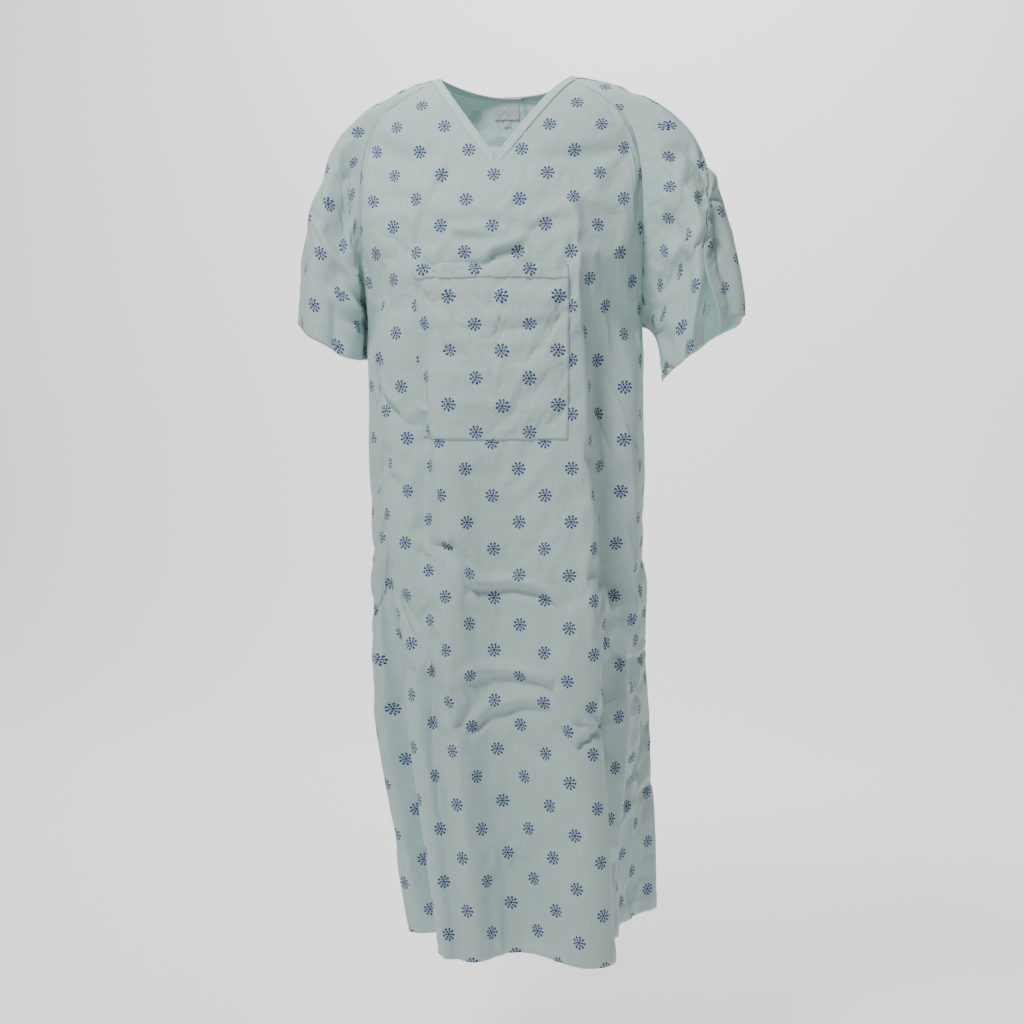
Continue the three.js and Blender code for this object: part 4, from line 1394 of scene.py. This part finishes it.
def add_back_stitching():
    for hand, word, joint, flap in ((1, "left", "back_outer_fold", "back_flap_outer"),
                                    (-1, "right", "back_inner_fold", "back_flap_inner")):
        angles, drops = back_places(hand, 160, 220)
        share = np.linspace(0, 1, 161)
        k = 219
        hem_drop = np.full(161, LENGTH - HEM_DEPTH + 1.5)
        runs = [body_run(angles[k], hem_drop, flap_lift(hand, share, hem_drop))]
        for inset in (4.0, 24.0):
            drop = drops[:, -1]
            x = -hand * (mix(NECK_OVERLAP, BACK_OVERLAP, smooth(drop / OVERLAP_DROP)) - inset)
            lift = flap_lift(hand, np.ones_like(drop) * 0.95, drop * 0)
            keep = drop > 30
            runs.append(body_run(angle_at(x, drop, 1)[keep], drop[keep], lift[keep]))
        down = np.linspace(float(panel_top(np.array([corner_angle(1) + 0.5]))[0]), ARMPIT_DROP - 4, 150)
        columns = raglan_angle(down, 1) + 4.5 / 2.9
        runs.append(body_run(columns if hand > 0 else 180 - columns, down + 1.0))
        obj = stitch_object(f"back_stitching_{word}", runs)
        blend_over(obj, joint, flap)


def add_binding_stitching():
    settings = bpy.context.scene.gown
    for hand, word, back_word, lift in NECK_SIDES:
        points, normal, inward, run = binding_strip(hand, -NECK_OVERLAP)
        over = settings.thickness / MM * lift * smooth((run - run[-1] + 70) / 40)
        runs = []
        for down in (2.6, 10.2):
            away = (1.42 - 0.1 * (down > 9) + over)[:, None]
            runs.append((points + inward * down + normal * away) * MM)
        top = int(np.argmax(points[:, 1] > 0))
        for part, span in ((word, slice(0, top + 1)), (back_word, slice(top, None))):
            obj = stitch_object(f"neck_stitching_{part}", [line[span] for line in runs])
            if part == word:
                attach(obj, "gown")
            else:
                blend_over(obj, f"back_{part}_fold", f"back_flap_{part}")


def add_pocket_stitching():
    thickness = bpy.context.scene.gown.thickness
    line = np.linspace(0, 1, 160)
    inset_x, inset_y = 2.2 / POCKET_WIDTH, 2.2 / POCKET_HEIGHT
    extra = 0.0004 + STITCH_LIFT
    runs = [
        pocket_grid(inset_x + 0 * line, line * (1 - inset_y), extra + thickness * 1.6 * (line < 0.08))[0],
        pocket_grid(1 - inset_x + 0 * line, line * (1 - inset_y), extra + thickness * 1.6 * (line < 0.08))[0],
        pocket_grid(mix(inset_x, 1 - inset_x, line), 1 - inset_y + 0 * line, extra)[0],
        pocket_grid(mix(inset_x, 1 - inset_x, line), (POCKET_HEM - 2.0) / POCKET_HEIGHT + 0 * line,
                    thickness * 1.6 + STITCH_LIFT)[0],
    ]
    obj = stitch_object("pocket_stitching", runs)
    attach(obj, "gown")


def add_sleeve_stitching():
    for word in ("left", "right"):
        line = np.linspace(0, 1, 160)
        upper = mix(0.02, SLIT_START, line)
        runs = []
        for inset in (0.004, 0.05):
            u = slit_turn(upper, word) - inset
            runs.append(sleeve_grid(word, u, upper, 0.0009 * (inset < 0.01) + STITCH_LIFT)[0])
        hem = 0.945 + 0 * line
        u = mix(float(slit_turn(np.array(1.0), word)) + 0.01, 0.497, line)
        points = sleeve_grid(word, u, hem, 0.0006 + STITCH_LIFT)[0]
        runs.append(points + gape(word, u, hem, False))
        u = mix(float(slit_turn(np.array(1.0), word) - flap_edge_turn(np.array(1.0))), -0.497, line)
        points = sleeve_grid(word, u, hem, 0.0006 + STITCH_LIFT)[0]
        runs.append(points + gape(word, u, hem, True))
        obj = stitch_object(f"sleeve_stitching_{word}", runs)
        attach(obj, "gown")
        v = mix(SLIT_START + 0.03, 0.995, line)
        runs = []
        for inset in (0.005, 0.05):
            u = slit_turn(v, word) + PLACKET_OVER - inset
            points = sleeve_grid(word, u, v, 0.0022 + STITCH_LIFT)[0]
            runs.append(points + gape(word, u, v, True))
        u = slit_turn(hem, word) + mix(-flap_edge_turn(hem) + 0.01, PLACKET_OVER - 0.004, line)
        points = sleeve_grid(word, u, hem, 0.0006 + 0.0022 * smooth((line - 0.5) / 0.3) + STITCH_LIFT)[0]
        runs.append(points + gape(word, u, hem, True))
        obj = stitch_object(f"placket_stitching_{word}", runs)
        blend_over(obj, f"sleeve_{word}_fold", f"sleeve_flap_{word}")


# ---- Stage -----------------------------------------------------------------------------------------------------
def add_backdrop(settings):
    """A pale floor that sweeps up into a pale wall."""
    shader = Shader("backdrop_paper")
    grain = shader.noise(shader.object_place(), 40.0, 2.0)
    colour = shader.mixed(grain, (0.90, 0.90, 0.90, 1.0), (0.94, 0.94, 0.94, 1.0))
    shader.finish({"Specular IOR Level": 0.1, "Emission Color": (1.0, 1.0, 1.0, 1.0),
                   "Emission Strength": 0.4}, colour, (0.9 + grain * 0.05).clamped(), grain, 0.0001)
    floor = -LENGTH * MM - settings.floor_drop
    profile = [(-7.0, floor), (2.2, floor)]
    for step in range(1, 13):
        turn = math.pi / 2 * step / 12
        profile.append((2.2 + 1.2 * math.sin(turn), floor + 1.2 * (1 - math.cos(turn))))
    profile.append((3.4, floor + 7.0))
    points = np.array([[(x, y, z) for x in (-9.0, 9.0)] for y, z in profile])
    mesh = mesh_from("backdrop", points, grid_faces(len(profile), 2, False))
    mesh.polygons.foreach_set("use_smooth", np.ones(len(mesh.polygons), bool))
    obj = bpy.data.objects.new("backdrop", mesh)
    bpy.context.scene.collection.objects.link(obj)
    mesh.materials.append(shader.material)


def add_light(name, place, size, power, target=(0.0, 0.0, -0.6), colour=(1.0, 1.0, 1.0)):
    lamp = bpy.data.lights.new(name, "AREA")
    lamp.shape, lamp.size, lamp.energy, lamp.color = "DISK", size, power, colour
    obj = bpy.data.objects.new(name, lamp)
    bpy.context.scene.collection.objects.link(obj)
    obj.location = place
    obj.rotation_euler = (Vector(target) - Vector(place)).to_track_quat("-Z", "Y").to_euler()


def add_camera(settings):
    camera = bpy.data.cameras.new("camera")
    camera.sensor_width = 36.0
    camera.lens = settings.lens
    obj = bpy.data.objects.new("camera", camera)
    bpy.context.scene.collection.objects.link(obj)
    yaw = settings.camera_yaw
    obj.location = (math.sin(yaw) * settings.camera_away, -math.cos(yaw) * settings.camera_away,
                    settings.camera_height)
    target = Vector((settings.aim_across * math.cos(yaw), settings.aim_across * math.sin(yaw),
                     settings.aim_height))
    obj.rotation_euler = (target - obj.location).to_track_quat("-Z", "Y").to_euler()
    bpy.context.scene.camera = obj


# ---- Add-on ------------------------------------------------------------------------------------------------------
class GownSettings(bpy.types.PropertyGroup):
    """Sizes and colours of the gown's cloth and sewing."""

    cloth_colour: FloatVectorProperty(name="Cloth", description="Ground colour of the cloth", subtype="COLOR",
                                      size=4, default=(0.475, 0.625, 0.60, 1.0), min=0, max=1)
    print_colour: FloatVectorProperty(name="Print", description="Ink of the rosettes", subtype="COLOR", size=4,
                                      default=(0.022, 0.030, 0.17, 1.0), min=0, max=1)
    binding_colour: FloatVectorProperty(name="Binding", description="Colour of the neck binding",
                                        subtype="COLOR", size=4, default=(0.55, 0.69, 0.665, 1.0), min=0, max=1)
    rosette_size: FloatProperty(name="Rosette", description="Width of one printed flower", unit="LENGTH",
                                default=0.018)
    print_across: FloatProperty(name="Print across", description="Distance between flowers in a row",
                                unit="LENGTH", default=0.071)
    print_down: FloatProperty(name="Print down", description="Distance between every second row",
                              unit="LENGTH", default=0.071)
    thickness: FloatProperty(name="Cloth thickness", description="Thickness of one layer", unit="LENGTH",
                             default=0.0006)
    crumple: FloatProperty(name="Crumple", description="Depth of the small creases", unit="LENGTH",
                           default=0.0011)
    slack: FloatProperty(name="Slack", description="How much the cloth grows before it hangs",
                         subtype="FACTOR", default=0.02)
    hang_frames: IntProperty(name="Hanging time", description="Steps that the cloth hangs for", default=14)
    stitch_length: FloatProperty(name="Stitch", description="Length of one stitch", unit="LENGTH",
                                 default=0.0026)
    stitch_pitch: FloatProperty(name="Stitch pitch", description="From one stitch to the next", unit="LENGTH",
                                default=0.0034)
    thread_width: FloatProperty(name="Thread", description="Width of the thread", unit="LENGTH",
                                default=0.0006)


class StageSettings(bpy.types.PropertyGroup):
    """Camera, lights and floor."""

    lens: FloatProperty(name="Lens", description="Focal length", default=54.5)
    camera_yaw: FloatProperty(name="Turn", description="How far the camera stands to the wearer's left",
                              subtype="ANGLE", unit="ROTATION", default=math.radians(7.5))
    camera_away: FloatProperty(name="Distance", description="Camera to gown", unit="LENGTH", default=2.2)
    camera_height: FloatProperty(name="Height", description="Camera height", unit="LENGTH", default=-0.39)
    aim_across: FloatProperty(name="Aim across", description="Sideways aim", unit="LENGTH", default=0.009)
    aim_height: FloatProperty(name="Aim height", description="Height of the aim", unit="LENGTH",
                              default=-0.606)
    floor_drop: FloatProperty(name="Floor", description="Floor below the hem", unit="LENGTH", default=0.35)
    key_power: FloatProperty(name="Key", description="Power of the main light", unit="POWER", default=47.0)
    fill_power: FloatProperty(name="Fill", description="Power of the soft front light", unit="POWER",
                              default=5.0)
    world_light: FloatProperty(name="Ambient", description="Light from all round", default=0.11)


def operator(name, label, words, work):
    """A plain operator that sews one group of pieces."""
    def execute(self, context):
        cut_and_hang(context.scene.gown)
        work()
        return {"FINISHED"}

    return type(name, (bpy.types.Operator,), {
        "bl_idname": label, "bl_label": words, "__doc__": words + ".", "execute": execute,
        "bl_options": {"REGISTER", "UNDO"},
    })


class GOWN_OT_stage(bpy.types.Operator):
    """Sets up the backdrop, the lights and the camera."""

    bl_idname = "gown.stage"
    bl_label = "Set up the stage"

    def execute(self, context):
        settings = context.scene.gown_stage
        add_backdrop(settings)
        add_light("key_light", (-0.5, -1.25, 1.35), 0.5, settings.key_power, target=(0.0, 0.0, -0.3))
        add_light("fill_light", (-0.8, -3.0, 0.3), 1.6, settings.fill_power)
        add_light("wall_light", (0.0, 1.4, 1.9), 2.5, 120.0, target=(0.0, 3.4, -0.3))
        world = bpy.data.worlds.new("studio")
        world.use_nodes = True
        world.node_tree.nodes["Background"].inputs["Strength"].default_value = settings.world_light
        world.node_tree.nodes["Background"].inputs["Color"].default_value = (1.0, 1.0, 1.0, 1.0)
        context.scene.world = world
        add_camera(settings)
        return {"FINISHED"}


PIECES = (
    operator("GOWN_OT_front", "gown.front", "Sew the front", add_front),
    operator("GOWN_OT_backs", "gown.backs", "Sew the overlapping back halves", add_backs),
    operator("GOWN_OT_sleeves", "gown.sleeves", "Sew the sleeves and their flaps", add_sleeves),
    operator("GOWN_OT_binding", "gown.binding", "Bind the neckline", add_binding),
    operator("GOWN_OT_pocket", "gown.pocket", "Sew the chest pocket", add_pocket),
    operator("GOWN_OT_labels", "gown.labels", "Sew in the labels", add_labels),
    operator("GOWN_OT_snaps", "gown.snaps", "Set the snaps", add_snaps),
    operator("GOWN_OT_front_stitching", "gown.front_stitching", "Stitch the front", add_front_stitching),
    operator("GOWN_OT_back_stitching", "gown.back_stitching", "Stitch the back", add_back_stitching),
    operator("GOWN_OT_neck_stitching", "gown.neck_stitching", "Stitch the binding", add_binding_stitching),
    operator("GOWN_OT_pocket_stitching", "gown.pocket_stitching", "Stitch the pocket", add_pocket_stitching),
    operator("GOWN_OT_sleeve_stitching", "gown.sleeve_stitching", "Stitch the sleeves", add_sleeve_stitching),
)


class GOWN_PT_panel(bpy.types.Panel):
    """Sewing steps of the gown."""

    bl_label = "Gown"
    bl_idname = "GOWN_PT_panel"
    bl_space_type = "VIEW_3D"
    bl_region_type = "UI"
    bl_category = "Gown"

    def draw(self, context):
        for settings in (context.scene.gown, context.scene.gown_stage):
            for name in settings.__annotations__:
                self.layout.prop(settings, name)
        self.layout.operator(GOWN_OT_stage.bl_idname)
        for piece in PIECES:
            self.layout.operator(piece.bl_idname)


CLASSES = (GownSettings, StageSettings, GOWN_OT_stage, *PIECES, GOWN_PT_panel)


def register():
    for entry in CLASSES:
        bpy.utils.register_class(entry)
    bpy.types.Scene.gown = PointerProperty(type=GownSettings)
    bpy.types.Scene.gown_stage = PointerProperty(type=StageSettings)


def unregister():
    del bpy.types.Scene.gown_stage
    del bpy.types.Scene.gown
    for entry in reversed(CLASSES):
        bpy.utils.unregister_class(entry)


def main():
    register()
    bpy.ops.gown.stage()
    for piece in PIECES:
        getattr(bpy.ops.gown, piece.bl_idname.split(".")[1])()


if __name__ == "__main__":
    main()
